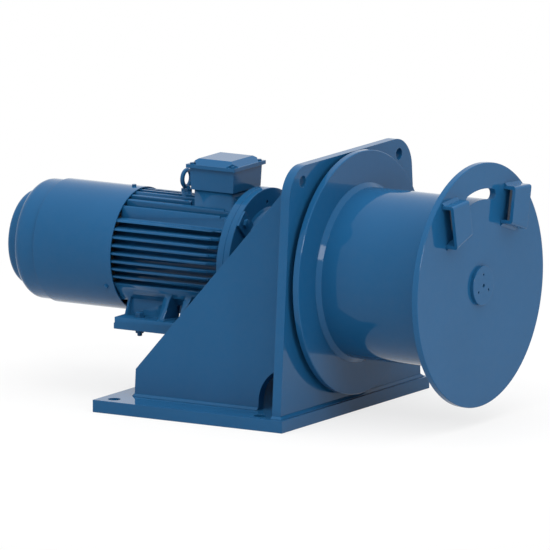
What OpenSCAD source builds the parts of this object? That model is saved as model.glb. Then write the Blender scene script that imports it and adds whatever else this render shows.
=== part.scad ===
// Wire rope winch: a flange motor with a long fan and brake cowl drives a cantilevered
// rope drum through a two-stage planetary gear that turns inside the drum.
// Millimetres. +X runs along the drum axis from the motor to the open end of the drum,
// +Z is up. The origin is the centre of the base plate's bolt pattern, on its underside.

/* [Base frame] */
// Length of the base plate along the drum axis
base_l = 443; // [435:1:470]
// Width of the base plate across the drum axis
base_w = 572; // [564:1:620]
// Thickness of the base plate
base_t = 25; // [18:1:32]
// Bolt spacing along the drum axis
bolt_pitch_x = 342; // [330:1:350]
// Distance from the bolts to the side edges of the base plate
bolt_edge_side = 28; // [22:0.5:32]
// Diameter of the four base bolt holes
bolt_hole_d = 26; // [18:1:30]
// Distance from the rear bolts to the rear edge of the base plate
bolt_edge_rear = 33.5; // [26:0.5:40]
// Height of the drum axis above the underside
axis_h = 283; // [278:1:300]
// Thickness of the mounting plate
plate_t = 20; // [16:1:26]
// Setback of the mounting plate from the front edge of the base plate
plate_set = 12; // [9:1:20]
// Width of the mounting plate where it stands on the base plate
plate_w = 544; // [536:1:550]
// Height of the mounting plate's top edge above the drum axis
plate_rise = 242; // [236:1:260]
// Lean of the mounting plate's side edges, in degrees
plate_lean = 4.56; // [3.5:0.01:5]
// Radius of the mounting plate's upper corners
plate_corner_r = 66; // [50:1:80]
// Diameter of the two upper holes in the mounting plate
top_hole_d = 24; // [16:1:28]
// Spacing of the two upper holes
top_hole_pitch = 372; // [350:1:380]
// Height of the two upper holes above the drum axis
top_hole_rise = 210; // [200:1:214]
// Thickness of the gusset plates
gusset_t = 20; // [14:1:24]
// Spread of the two gussets' outer faces at the base plate
gusset_spread = 418; // [410:1:430]
// Length of the gussets along the base plate
gusset_l = 360; // [340:1:366]
// Height of the gussets' rear edge
gusset_rear_h = 55; // [40:1:70]
// Height of the gussets where they meet the mounting plate
gusset_front_h = 481; // [460:1:488]
// Radius of the gussets' front cut-out
cutout_r = 70; // [50:1:80]
// Height of the straight part under the cut-out's arc
cutout_straight = 20; // [10:1:30]
// Leg length of the frame's fillet welds
weld_leg = 6; // [4:0.5:8]

/* [Drum] */
// Outer diameter of the drum barrel
barrel_d = 345; // [340:1:356]
// Wall of the drum barrel
barrel_wall = 14; // [10:1:15]
// Width between the two drum flanges
rope_w = 262; // [256:1:300]
// Outer diameter of the drum flange next to the mounting plate
inner_flange_d = 492; // [470:1:500]
// Thickness of the drum flange next to the mounting plate
inner_flange_t = 14; // [12:0.5:16]
// Outer diameter of the drum's outer disc
outer_disc_d = 492; // [480:1:510]
// Thickness of the drum's outer disc
outer_disc_t = 13.5; // [8:0.5:16]
// Running gap between the mounting plate and the drum
drum_gap = 12; // [10.5:0.5:14]
// Radial width of the rope slot in the outer disc
slot_w = 21.5; // [16:0.5:26]
// Half angle of the rope slot's centre line
slot_half_angle = 15; // [12:0.5:20]
// Leg length of the fillet weld at the barrel's root
drum_weld_leg = 9; // [5:0.5:11]
// Diameter of the hub cap
hub_cap_d = 80; // [70:1:90]
// Height of the hub cap over the outer disc
hub_cap_h = 7.2; // [6:0.2:10]
// Diameter of the centre hole in the hub cap
hub_bore_d = 8; // [5:0.5:12]
// Circle of the three small holes in the hub cap
hub_hole_circle = 44; // [36:1:50]
// Diameter of the three small holes in the hub cap
hub_hole_d = 5.5; // [4:0.5:7]

/* [Rope sockets] */
// Length of a wedge socket
socket_l = 62; // [54:1:68]
// Height of a wedge socket at its narrow end
socket_h_narrow = 75; // [66:0.5:80]
// Height of a wedge socket at its wide end
socket_h_wide = 90.5; // [82:0.5:94]
// Depth of a wedge socket from the disc
socket_depth = 27.5; // [22:0.5:34]
// Wall of a wedge socket
socket_wall = 7; // [5:0.5:9]
// Distance of each socket's centre from the drum's middle plane
socket_y = 114; // [108:1:120]
// Height of the sockets' centre over the drum axis
socket_z = 145.2; // [134:0.2:150]
// Tilt of each socket, in degrees
socket_tilt = 11; // [6:0.5:14]

/* [Motor] */
// Diameter of the motor flange
motor_flange_d = 300; // [290:1:310]
// Bolt circle of the motor flange
motor_bolt_circle = 265; // [258:1:268]
// Thickness of the motor flange
motor_flange_t = 15.6; // [12:0.2:18]
// Length of the ribbed motor frame
frame_l = 264; // [256:1:272]
// Radial clearance between the motor's fins and the inside of the fan cowl
fin_gap = 0.6; // [0.5:0.1:6]
// Outer diameter of the motor frame between its fins
core_d = 196; // [194:1:200]
// Bore of the motor frame
frame_bore_d = 180; // [176:1:182]
// Thickness of a cooling fin
fin_t = 4.6; // [3.5:0.1:6]
// Pitch of the side fins
fin_pitch = 16; // [15:0.1:16.4]
// Number of side fins on each side
fin_count = 8; // [7:1:8]
// Height of the motor axis over the feet
foot_h = 141; // [136:1:146]
// Thickness of the foot pads
foot_t = 24; // [18:1:28]
// Bolt spacing of the feet across the axis
foot_pitch_y = 216; // [210:1:222]
// Bolt spacing of the feet along the axis
foot_pitch_x = 178; // [170:1:180]
// Width over the two foot pads
foot_w = 272; // [262:1:280]

/* [Fan cowl] */
// Outer diameter of the fan cowl
cowl_d = 250.5; // [248:0.5:256]
// Sheet thickness of the fan cowl
cowl_wall = 2.5; // [2:0.1:3]
// Length of the cowl's wide part
cowl_l = 182.6; // [178:0.2:190]
// Length of the cowl's rear part
cowl_rear_l = 53.5; // [50:0.5:58]
// Step in radius between the wide and the rear part
cowl_step = 3.7; // [2.6:0.1:4.5]
// Rounding at the rear shoulder of the cowl
cowl_round = 18.5; // [10:0.5:20]
// Diameter of the rear cap
rear_cap_d = 194; // [188:1:198]
// Length of the rear cap
rear_cap_l = 27; // [20:1:32]

/* [Terminal box] */
// Length of the box lid along the motor
box_l = 114; // [108:1:120]
// Width of the box lid across the motor
box_w = 121; // [116:1:128]
// Height of the box body
box_h = 44.5; // [40:0.5:50]
// Height of the lid's rim
lid_rim = 7.5; // [6:0.5:9]
// Height of the lid's raised middle
lid_rise = 10.6; // [8:0.1:14]
// Height of the box's underside over the motor axis
box_z = 142.5; // [141:0.5:148]
// Distance of the box's centre from the back of the motor flange
box_set = 67.8; // [66:0.2:72]

/* [Gears] */
// Gear module of both planetary stages
gear_m = 4; // [3.9:0.01:4.04]
// Teeth of the sun gears
sun_teeth = 12; // [12:12:12]
// Teeth of the planet gears
planet_teeth = 24; // [24:12:24]
// Face width of the output stage
output_face = 50; // [40:1:52]
// Face width of the input stage
input_face = 32; // [26:1:34]
// Backlash of each gear mesh, measured on the pitch circle
backlash = 0.5; // [0.4:0.05:0.7]

/* [Fits] */
// Radial clearance of a running fit
run_gap = 0.05; // [0.03:0.01:0.1]
// Clearance between seated pieces of one body
seat_gap = 0.05; // [0:0.01:0.1]
// Clearance between pieces that move past each other
free_gap = 1; // [0.5:0.1:1.5]
// Stroke of the brake armature
brake_stroke = 0.6; // [0.4:0.1:1]

/* [Hidden] */
$fn = 96;

// Paint and bare finishes
paint = "#2f6a9f";
paint_dark = "#28557f";
bare_steel = "#b8bcc0";
dark_steel = "#5a5e63";
copper = "#a8672f";
rubber = "#26282b";
moulding = "#d9d2b8";
alloy = "#c9ccd0";

eps = 0.01;
tiny = 0.2;

// Base frame, derived
bolt_pitch_y = base_w - 2 * bolt_edge_side;
base_rear = -bolt_pitch_x / 2 - bolt_edge_rear;
base_front = base_rear + base_l;
plate_front = base_front - plate_set;
plate_back = plate_front - plate_t;
plate_top = axis_h + plate_rise;
plate_bore_r = 70;
gusset_rear = plate_back - gusset_l;
far = 900;

// Drum, derived
barrel_r = barrel_d / 2;
barrel_in_r = barrel_r - barrel_wall;
inner_x = plate_front + drum_gap;
barrel_x = inner_x + inner_flange_t;
disc_x = barrel_x + rope_w;
disc_face = disc_x + outer_disc_t;
slot_r = barrel_r + slot_w / 2;
cap_seat_r = 12;

// Gear geometry: 25 degree pressure angle with stub teeth
pressure = 25;
addendum = 0.8 * gear_m;
dedendum = 1.05 * gear_m;
ring_teeth = sun_teeth + 2 * planet_teeth;
centre_a = gear_m * (sun_teeth + planet_teeth) / 2;
ring_pitch_r = gear_m * ring_teeth / 2;
ring_tip_r = ring_pitch_r - addendum;
ring_root_r = ring_pitch_r + dedendum;
ring_wall = 17.5;
ring_out_r = ring_root_r + ring_wall;
planet_tip_r = gear_m * planet_teeth / 2 + addendum;
sun_root_r = gear_m * sun_teeth / 2 - dedendum;

// Gear unit along X, from the mounting plate outwards
spindle_flange_r = 105;
spindle_flange_t = 18;
spindle_r = 65;
spindle_bore_r = 26;
spigot_len = 8;
hub_flange_t = 8;
hub_flange_x = inner_x - hub_flange_t;
hub_flange_r = barrel_in_r + 8;
hub_pilot_r = ring_out_r + 3.5;
hub_seal_r = 112;
bearing_w = 33;
bearing_r = 100;
bearing_x1 = plate_front + spindle_flange_t + 6;
bearing_x2 = bearing_x1 + bearing_w + 7;
spindle_end = bearing_x2 + bearing_w + 10;
hub_end = spindle_end - 3;
carrier_r = ring_tip_r - 4;
carrier_t1 = 12;
carrier_t2 = 10;
side_gap = 1;
output_x = spindle_end + carrier_t1 + side_gap;
output_end = output_x + output_face;
input_plate_x = output_end + side_gap + carrier_t2 + 4;
input_x = input_plate_x + carrier_t2 + side_gap;
input_end = input_x + input_face;
input_front_x = input_end + side_gap;
carrier_end = input_front_x + 8;
ring_x = hub_end;
ring_end = carrier_end + 7;
gear_cover_t = 10;
bridge_r = 16;
bridge_at = 95;
pin_r = 12;
bush_gap = run_gap;
shaft_r = 12;
hub_r = 118;
output_neck_r = 17;
input_shaft_end = carrier_end - 1;
input_bearing_r = 23.5;
input_bearing_w = 12;
input_bearing_x1 = plate_front + 4;
input_bearing_x2 = spindle_end - input_bearing_w - 4;

// Motor along X, from the adapter rearwards
adapter_l = 189.8;
flange_face = plate_back - adapter_l;
shaft_end = flange_face + 80;
input_shaft_x = shaft_end + 6;
flange_back = flange_face - motor_flange_t;
frame_front = flange_back - 9;
frame_rear = flange_back - frame_l - 9;
cowl_x = flange_back - frame_l;
shield_t = 18;
shield_rear = frame_rear - shield_t;
cowl_r = cowl_d / 2;
cowl_in_r = cowl_r - cowl_wall;
cowl_mid = cowl_x - cowl_l;
cowl_rear = cowl_mid - cowl_rear_l;
fin_r = cowl_in_r - fin_gap;
core_r = core_d / 2;
frame_bore_r = frame_bore_d / 2;
stator_x = frame_front - 60;
stator_l = frame_l - 114;
stator_in_r = 60.6;
winding_in_r = stator_in_r + 5.4;
winding_out_r = frame_bore_r - 8;
winding_mid_r = (winding_in_r + winding_out_r) / 2;
motor_shaft_r = 19;
bearing_seat_r = motor_shaft_r + 1;
shield_bore_r = bearing_seat_r + free_gap;
mbearing_r = 40;
mbearing_w = 18;
mbearing_x1 = flange_back - 12;
mbearing_x2 = shield_rear + 2;
foot_z = axis_h - foot_h;
foot_front_x = flange_back - 26.7;
foot_rear_x = foot_front_x - foot_pitch_x;
foot_pad_front = foot_front_x + 24;
foot_pad_rear = foot_rear_x - 42;
adapter_flange_t = 13.8;
adapter_face = flange_face + adapter_flange_t;
pad_h = 5;
pad_w = 36;
adapter_foot_r = 112;
adapter_foot_t = 17;
adapter_bolt_r = 92;
adapter_bore_r = 60;
motor_spigot_r = 115;
motor_spigot_t = 4;
cowl_screw_x = cowl_x - 20;
cowl_screw_angles = [90, 210, 330];

// Brake along X, rearwards from the rear end shield
disc_t = 12;
armature_t = 12;
brake_air = 0.1;
magnet_l = 60;
brake_r = 88;
brake_disc_x = shield_rear - brake_air - disc_t;
armature_x = brake_disc_x - brake_air - armature_t;
magnet_x = armature_x - brake_stroke - 0.2 - magnet_l;
fan_l = 36;
fan_x = cowl_rear + 26;
shaft_rear = fan_x - 4;

// Terminal box
box_x = flange_back - box_set;
box_bottom = axis_h + box_z;
lid_z = box_bottom + box_h;
gasket_t = 1.5;
box_inset_x = 5.3;
box_inset_y = 6.4;
box_draft_x = 2.4;
box_wall = 4;
neck_l = 86;
neck_w = 100;
lid_corner = 9.5;
eye_x = box_x - box_l / 2 - 35.3;
eye_z = axis_h + 127.5;

// Places a child so that its own +Z runs along +X on the drum axis
module on_axis(x = 0) {
  translate([x, 0, axis_h]) rotate([0, 90, 0]) children();
}

// A body of revolution about the drum axis, from a list of [x, radius] points
module turned(points) {
  on_axis() rotate_extrude() polygon([for (p = points) [p[1], p[0]]]);
}

// A plain ring or disc about the drum axis
module ring(x, len, outer, inner = 0) {
  on_axis(x) difference() {
    cylinder(h = len, r = outer);
    if (inner > 0) translate([0, 0, -1]) cylinder(h = len + 2, r = inner);
  }
}

// A child as drawn, or mirrored to the far side of the drum's middle plane
module sided(side) {
  if (side < 0) children();
  else mirror([0, 1, 0]) children();
}

// Copies at equal angles about the drum axis, counted from straight up towards -Y
module around(count, start = 0) {
  for (i = [0 : count - 1]) on_turn(start + i * 360 / count) children();
}

// One copy turned about the drum axis
module on_turn(angle) {
  translate([0, 0, axis_h]) rotate([angle, 0, 0]) translate([0, 0, -axis_h]) children();
}

// A cylinder along +X at a radius straight above the drum axis
module rod_x(x, len, radius, at_r) {
  translate([x, 0, axis_h + at_r]) rotate([0, 90, 0]) cylinder(h = len, r = radius, $fn = 48);
}

// A hexagon head or nut along +X
module hex_x(x, len, across, at_r) {
  translate([x, 0, axis_h + at_r]) rotate([0, 90, 0])
    cylinder(h = len, r = across / sqrt(3), $fn = 6);
}

// A prism along X with a cross-section given in Y and Z
module prism_x(x, len, points) {
  translate([x, 0, 0]) rotate([90, 0, 90]) linear_extrude(height = len) polygon(points);
}

// Base plate with its four bolt holes
module base_plate() {
  color(paint) difference() {
    translate([base_rear, -base_w / 2, 0]) cube([base_l, base_w, base_t]);
    for (sx = [-1, 1], sy = [-1, 1])
      translate([sx * bolt_pitch_x / 2, sy * bolt_pitch_y / 2, -1])
        cylinder(h = base_t + 2, d = bolt_hole_d);
  }
}

// Half width of the leaning mounting plate at a height
function plate_half(z) = plate_w / 2 - tan(plate_lean) * (z - base_t);

// Outline of the mounting plate in Y and Z: leaning sides and large upper corners
module plate_outline() {
  zc = plate_top - plate_corner_r;
  yc = plate_half(zc) - plate_corner_r / cos(plate_lean);
  ty = yc + plate_corner_r * cos(plate_lean);
  tz = zc + plate_corner_r * sin(plate_lean);
  polygon([[-plate_w / 2, base_t], [plate_w / 2, base_t], [ty, tz], [yc, plate_top],
           [-yc, plate_top], [-ty, tz]]);
  for (s = [-1, 1]) translate([s * yc, zc]) circle(r = plate_corner_r);
}

// Mounting plate between the motor adapter and the drum
module mounting_plate() {
  color(paint) difference() {
    translate([plate_back, 0, 0]) rotate([90, 0, 90]) linear_extrude(height = plate_t)
      plate_outline();
    for (s = [-1, 1])
      translate([plate_back - 1, s * top_hole_pitch / 2, axis_h + top_hole_rise])
        rotate([0, 90, 0]) cylinder(h = plate_t + 2, d = top_hole_d);
    ring(plate_back - 1, plate_t + 2, plate_bore_r);
    around(8, 22.5) rod_x(plate_back - 1, plate_t + 2, 9, adapter_bolt_r);
  }
}

// Stands its children on the base plate, leaning inwards like the near gusset:
// local X is the world X, local Y points inwards and local Z runs up the lean
module on_gusset(side) {
  sided(side) translate([0, -gusset_spread / 2, base_t]) rotate([-plate_lean, 0, 0]) children();
}

// Removes what would reach into the base plate
module above_base() {
  difference() {
    children();
    translate([-far, -far, -far]) cube([2 * far, 2 * far, far + base_t]);
  }
}

// Side outline of a gusset: short rear edge, long slope and a round front cut-out
module gusset_outline() {
  low = -gusset_t;
  difference() {
    polygon([[gusset_rear, low], [plate_back, low], [plate_back, gusset_front_h],
             [gusset_rear, gusset_rear_h]]);
    translate([plate_back, cutout_straight]) circle(r = cutout_r);
    translate([plate_back - cutout_r, 2 * low]) square([cutout_r + 1, cutout_straight - 2 * low]);
  }
}

// One leaning gusset behind the mounting plate
module gusset(side) {
  color(paint_dark) above_base() on_gusset(side)
    translate([0, gusset_t, 0]) rotate([90, 0, 0]) linear_extrude(height = gusset_t)
      gusset_outline();
}

// Fillet weld along the front of the mounting plate
module front_weld(reach) {
  translate([plate_front, reach, base_t]) rotate([90, 0, 0]) linear_extrude(height = 2 * reach)
    polygon([[0, 0], [weld_leg, 0], [0, weld_leg]]);
}

// Fillet weld along one leaning end of the mounting plate
module end_weld(side, len) {
  high = base_t + weld_leg;
  prism_x(plate_back, len, [[side * plate_half(base_t), base_t],
    [side * (plate_half(base_t) + weld_leg), base_t], [side * plate_half(high), high]]);
}

// Fillet welds of the frame
module frame_welds() {
  w = weld_leg;
  color(paint) {
    // Front of the mounting plate on the base plate
    front_weld(plate_w / 2);
    for (s = [-1, 1]) {
      // The plate's leaning ends on the base plate, with a mitred corner to the front
      end_weld(s, plate_t);
      intersection() {
        front_weld(plate_w / 2 + w);
        end_weld(s, plate_t + w);
      }
      // Outer foot of each gusset
      above_base() on_gusset(s) translate([gusset_rear, 0, 0]) rotate([90, 0, 90])
        linear_extrude(height = gusset_l - cutout_r)
          polygon([[0, -w], [0, w], [-w, -w / 8], [-w, -w]]);
      // Rear foot of each gusset
      above_base() on_gusset(s) translate([gusset_rear, gusset_t, 0]) rotate([90, 0, 0])
        linear_extrude(height = gusset_t) polygon([[0, -w], [0, w], [-w, 0], [-w, -w]]);
      // Gusset against the back of the mounting plate
      on_gusset(s) translate([plate_back, 0, cutout_straight + cutout_r + 2])
        linear_extrude(height = gusset_front_h - cutout_straight - cutout_r - 60)
          polygon([[0, 0], [-w, 0], [0, -w]]);
    }
  }
}

// Cast bell between the motor flange and the mounting plate
module motor_adapter() {
  neck_root = 112;
  neck_end = adapter_bolt_r - 18;
  foot_x = plate_back - adapter_foot_t;
  inner_end = adapter_bore_r;
  color(paint) difference() {
    union() {
      turned([
        [flange_face, motor_spigot_r + seat_gap], [flange_face, motor_flange_d / 2 - 0.8],
        [flange_face + 0.8, motor_flange_d / 2], [adapter_face - 1, motor_flange_d / 2],
        [adapter_face, motor_flange_d / 2 - 1], [adapter_face, neck_root],
        [adapter_face + 3, neck_root - 6], [adapter_face + 10, neck_root - 10],
        [adapter_face + 110, neck_end + 3], [foot_x - 8, neck_end],
        [foot_x - 3, neck_end + 1], [foot_x, neck_end + 3], [foot_x, adapter_foot_r - 1],
        [foot_x + 1, adapter_foot_r], [plate_back, adapter_foot_r],
        [plate_back, plate_bore_r - seat_gap], [plate_back + spigot_len, plate_bore_r - seat_gap],
        [plate_back + spigot_len, inner_end], [flange_face + 130, inner_end],
        [flange_face + 12, neck_root - 24], [flange_face + motor_spigot_t + seat_gap, neck_root - 24],
        [flange_face + motor_spigot_t + seat_gap, motor_spigot_r + seat_gap]
      ]);
      around(4, 45) adapter_pad(neck_root);
    }
    around(4, 45) rod_x(flange_face - 1, adapter_flange_t + pad_h + 2, 7.25, motor_bolt_circle / 2);
    around(8, 22.5) rod_x(foot_x - 1, adapter_foot_t + 2, 9, adapter_bolt_r);
    rod_x(adapter_face - 10, 12, 4, neck_root + 10);
  }
}

// Raised bolt pad on the adapter flange
module adapter_pad(neck_root) {
  intersection() {
    translate([adapter_face - eps, -pad_w / 2, axis_h]) cube([pad_h, pad_w, motor_flange_d / 2]);
    ring(adapter_face - 1, pad_h + 2, motor_flange_d / 2 - 0.5, neck_root - 12);
  }
}

// Hexagon screws from the adapter's foot through the mounting plate into the spindle
module adapter_screws() {
  head = 10;
  x = plate_back - adapter_foot_t;
  color(bare_steel) around(8, 22.5) {
    hex_x(x - head, head, 24, adapter_bolt_r);
    rod_x(x - 0.01, adapter_foot_t + plate_t + 14, 8, adapter_bolt_r);
  }
}

// Hexagon screws that clamp the motor flange to the adapter
module flange_screws() {
  head = 7.5;
  color(bare_steel) around(4, 45) {
    hex_x(adapter_face + pad_h, head, 18, motor_bolt_circle / 2);
    rod_x(flange_back - 8, adapter_face + pad_h - flange_back + 8, 6, motor_bolt_circle / 2);
    hex_x(flange_back - 9.8, 9.8, 18, motor_bolt_circle / 2);
  }
}

// Reach of a fin from the motor axis to the fin circle, at an offset from that axis
function fin_reach(offset) = sqrt(fin_r * fin_r - offset * offset);
fin_first = -40;
fin_last = fin_first + (fin_count - 1) * fin_pitch;
flat_low = 72.4;
flat_top = 71.6;
top_fins = [24, 56];

// Side fins, the flat shoulders between the fin groups and the top fins
module motor_fins() {
  fin_x0 = frame_rear + 4;
  side_l = frame_front - 14 - fin_x0;
  intersection() {
    union() {
      for (s = [-1, 1], i = [0 : fin_count - 1]) {
        z = fin_first + i * fin_pitch;
        translate([fin_x0, s > 0 ? 60 : -60 - fin_r, axis_h + z - fin_t / 2])
          cube([side_l, fin_r, fin_t]);
      }
      for (s = [-1, 1], y = top_fins)
        translate([fin_x0, s * y - fin_t / 2, axis_h + 60]) cube([side_l, fin_t, fin_r]);
    }
    ring(fin_x0, side_l, fin_r);
  }
  // Flat shoulders at about 45 degrees above and below the side fins
  high = fin_reach(flat_low) - 0.6;
  top = fin_reach(flat_top) - 0.6;
  low = fin_reach(55.3) - 0.6;
  for (s = [-1, 1]) {
    prism_x(fin_x0 + 1, side_l + 3, [
      [s * 50, axis_h + flat_low - 14], [s * high, axis_h + flat_low - 1.5],
      [s * high, axis_h + flat_low], [s * flat_top, axis_h + top],
      [s * (flat_top - 5), axis_h + top], [s * 44, axis_h + 76]]);
    prism_x(fin_x0 + 1, side_l + 3, [
      [s * 60, axis_h - 50], [s * low, axis_h - 53.3], [s * low, axis_h - 55.3],
      [s * 83, axis_h - 90.4], [s * 60, axis_h - 70]]);
  }
}

// One foot: a long pad, two recessed webs between ribs and a shelf over the recesses
module motor_foot(side) {
  inner_y = 74;
  out_y = foot_w / 2;
  top = foot_z + foot_t - eps;
  bay = 93;
  front_bay = 75;
  rib = 14.5;
  thin = 5;
  web = [[-62, axis_h - 62], [-90, axis_h - 62], [-86, axis_h - 84], [-(foot_pitch_y / 2 - 15), top],
         [-inner_y, top]];
  ridge = [[-62, axis_h - 62], [-98, axis_h - 64], [-110, axis_h - 76], [-(out_y - 6), top + 5],
           [-(out_y - 1), top], [-inner_y, top]];
  end_rib = [[-62, axis_h - 62], [-86, axis_h - 62], [-89, axis_h - 76], [-(out_y - 28), top],
             [-inner_y, top]];
  shelf = [[-60, axis_h - 50], [-95, axis_h - 63], [-100, axis_h - 65.6], [-100, axis_h - 74.2],
           [-60, axis_h - 80]];
  r0 = foot_rear_x - 36;
  f0 = frame_front - 2;
  sided(side) {
    translate([foot_pad_rear, -out_y, foot_z + foot_t / 2])
      cube([foot_pad_front - foot_pad_rear, out_y - inner_y, foot_t / 2]);
    translate([foot_pad_rear - 2, -out_y, foot_z])
      cube([foot_pad_front - foot_pad_rear + 2, out_y - inner_y, foot_t / 2 + eps]);
    prism_x(r0, bay + rib, web);
    prism_x(r0, thin, end_rib);
    prism_x(r0 + bay, rib, ridge);
    prism_x(f0 - front_bay - rib, front_bay + rib, web);
    prism_x(f0 - thin, thin, end_rib);
    prism_x(f0 - front_bay - rib, rib, ridge);
    prism_x(r0 + 16.5, f0 - r0 - 16.5, shelf);
  }
}

// Cast motor frame with its fins, feet, box neck and eye boss
module motor_frame() {
  boss_z = axis_h + core_r - 6;
  color(paint) difference() {
    union() {
      ring(frame_rear, frame_front - frame_rear, core_r);
      ring(frame_front - 12, 12, core_r + 6);
      motor_fins();
      for (side = [-1, 1]) motor_foot(side);
      // Neck under the terminal box
      translate([box_x - neck_l / 2, -neck_w / 2, axis_h + core_r - 14])
        cube([neck_l, neck_w, box_z - core_r + 14]);
      // Boss under the lifting eye
      translate([eye_x, 0, boss_z]) cylinder(h = eye_z - boss_z, r = 11);
    }
    ring(frame_rear - 1, frame_front - frame_rear + 2, frame_bore_r);
    // Wire passage through the neck
    translate([box_x - 20, 22, axis_h + 70]) cube([40, 18, far]);
    // Threaded hole for the lifting eye
    translate([eye_x, 0, eye_z - 17]) cylinder(h = 40, r = 5 + seat_gap, $fn = 48);
    for (side = [-1, 1], x = [foot_rear_x, foot_front_x])
      translate([x, side * foot_pitch_y / 2, foot_z - 1]) cylinder(h = foot_t + 2, r = 5.5);
  }
}

// Flanged end shield on the drive side, with its spigot and bearing seat
module drive_end_shield() {
  r = motor_flange_d / 2;
  seat = mbearing_r + seat_gap;
  color(paint) difference() {
    turned([
      [frame_front, frame_bore_r - seat_gap], [frame_front, core_r + 6],
      [flange_back, core_r + 6], [flange_back, r - 1], [flange_back + 1, r],
      [flange_face - 0.8, r], [flange_face, r - 0.8], [flange_face, motor_spigot_r],
      [flange_face + motor_spigot_t, motor_spigot_r - 1], [flange_face + motor_spigot_t, 88],
      [flange_back + 9, 84], [flange_back + 9, shield_bore_r],
      [mbearing_x1 + mbearing_w + seat_gap, shield_bore_r],
      [mbearing_x1 + mbearing_w + seat_gap, seat], [mbearing_x1 - 3, seat],
      [mbearing_x1 - 3, 48], [flange_back - 2, 52], [flange_back - 2, frame_bore_r - 8],
      [frame_front - 6, frame_bore_r - 8], [frame_front - 6, frame_bore_r - seat_gap]
    ]);
    around(4, 45) rod_x(flange_back - 1, motor_flange_t + 2, 7.25, motor_bolt_circle / 2);
  }
}

// Rear end shield with the cowl's three lugs and the brake's seat
module rear_end_shield() {
  seat = mbearing_r + seat_gap;
  color(dark_steel) difference() {
    union() {
      turned([
        [frame_rear, frame_bore_r - seat_gap], [frame_rear + 6, frame_bore_r - seat_gap],
        [frame_rear + 6, frame_bore_r - 8], [frame_rear, frame_bore_r - 10],
        [frame_rear - 4, 52], [mbearing_x2 + mbearing_w + 3, 48],
        [mbearing_x2 + mbearing_w + 3, seat], [mbearing_x2 - seat_gap, seat],
        [mbearing_x2 - seat_gap, shield_bore_r], [shield_rear, shield_bore_r],
        [shield_rear, core_r - 2], [shield_rear + 2, core_r], [frame_rear, core_r]
      ]);
      for (a = cowl_screw_angles) on_turn(a - 90)
        translate([shield_rear, -9, axis_h + core_r - 6])
          cube([shield_t, 18, cowl_in_r - seat_gap - core_r + 6 - 0.4]);
    }
    for (a = cowl_screw_angles) on_turn(a - 90)
      translate([cowl_screw_x, 0, axis_h + core_r + 4]) cylinder(h = 40, r = 3.05, $fn = 32);
    brake_screw_holes(shield_rear - 1, 10);
  }
}

// Three threaded holes that hold the brake
module brake_screw_holes(x, len) {
  around(3, 60) rod_x(x, len, 4.05, 76);
}

// Laminated stator core
module stator_core() {
  color(dark_steel) ring(stator_x - stator_l, stator_l, frame_bore_r - seat_gap, stator_in_r);
}

// End turns of the stator winding
module stator_windings() {
  color(copper) for (x = [[stator_x, 1], [stator_x - stator_l, -1]])
    turned([
      [x[0], winding_in_r], [x[0] + x[1] * 26, winding_in_r], [x[0] + x[1] * 32, winding_mid_r - 5],
      [x[0] + x[1] * 34, winding_mid_r], [x[0] + x[1] * 32, winding_mid_r + 5],
      [x[0] + x[1] * 26, winding_out_r], [x[0], winding_out_r]
    ]);
}

// Sizes of a deep-groove bearing between two radii: ball circle, ball and ring lands
function ball_circle(outer, inner) = (outer + inner) / 2;
function ball_size(outer, inner) = (outer - inner) * 0.3;

// One ring of a bearing between two radii, with its ball groove
module bearing_ring(x, w, r0, r1, mid_r, groove_r) {
  on_axis(x) rotate_extrude() difference() {
    translate([r0, 0]) square([r1 - r0, w]);
    translate([mid_r, w / 2]) circle(r = groove_r);
  }
}

// Outer ring of a bearing; the groove is wider where the ring runs past still balls
module outer_race(x, w, outer, inner, groove_gap) {
  mid_r = ball_circle(outer, inner);
  b = ball_size(outer, inner);
  bearing_ring(x, w, mid_r + 0.62 * b, outer - seat_gap, mid_r, b + groove_gap);
}

// Inner ring of a bearing, a little narrower than the outer one when it turns
module inner_race(x, w, outer, inner, groove_gap, side_gap = 0) {
  mid_r = ball_circle(outer, inner);
  b = ball_size(outer, inner);
  bearing_ring(x + side_gap, w - 2 * side_gap, inner + seat_gap, mid_r - 0.62 * b,
               mid_r, b + groove_gap);
}

// Balls of a bearing
module bearing_balls(x, w, outer, inner, count) {
  on_axis(x) for (i = [0 : count - 1]) rotate([0, 0, i * 360 / count])
    translate([ball_circle(outer, inner), 0, w / 2]) sphere(r = ball_size(outer, inner), $fn = 48);
}

// Seats of the four shaft bearings: place, width, outer and inner radius
shaft_seats = [
  [mbearing_x1, mbearing_w, mbearing_r, bearing_seat_r],
  [mbearing_x2, mbearing_w, mbearing_r, bearing_seat_r],
  [input_bearing_x1, input_bearing_w, input_bearing_r, shaft_r],
  [input_bearing_x2, input_bearing_w, input_bearing_r, shaft_r]
];

// Outer rings and balls of the motor's and the input shaft's bearings
module shaft_bearings() {
  color(bare_steel) for (b = shaft_seats) {
    outer_race(b[0], b[1], b[2], b[3], seat_gap);
    bearing_balls(b[0], b[1], b[2], b[3], 9);
  }
}

// Inner rings of the motor's and the input shaft's bearings
module bearing_inner_rings() {
  color(bare_steel) for (b = shaft_seats) inner_race(b[0], b[1], b[2], b[3], 0.3, 0.5);
}

// Motor shaft with its bearing seats and its rear end for the fan
module motor_shaft() {
  r = motor_shaft_r;
  seat = bearing_seat_r;
  color(bare_steel) turned([
    [shaft_rear, 0], [shaft_rear, r - 3], [shaft_rear + 1, r - 2], [shield_rear + 0.5, r - 2],
    [shield_rear + 0.5, r], [mbearing_x2 - 1, r], [mbearing_x2 - 1, seat],
    [mbearing_x2 + mbearing_w, seat], [mbearing_x2 + mbearing_w, seat + 5],
    [mbearing_x1, seat + 5], [mbearing_x1, seat], [mbearing_x1 + mbearing_w, seat],
    [mbearing_x1 + mbearing_w, r], [shaft_end - 1, r], [shaft_end, r - 1], [shaft_end, 0]
  ]);
}

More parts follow.
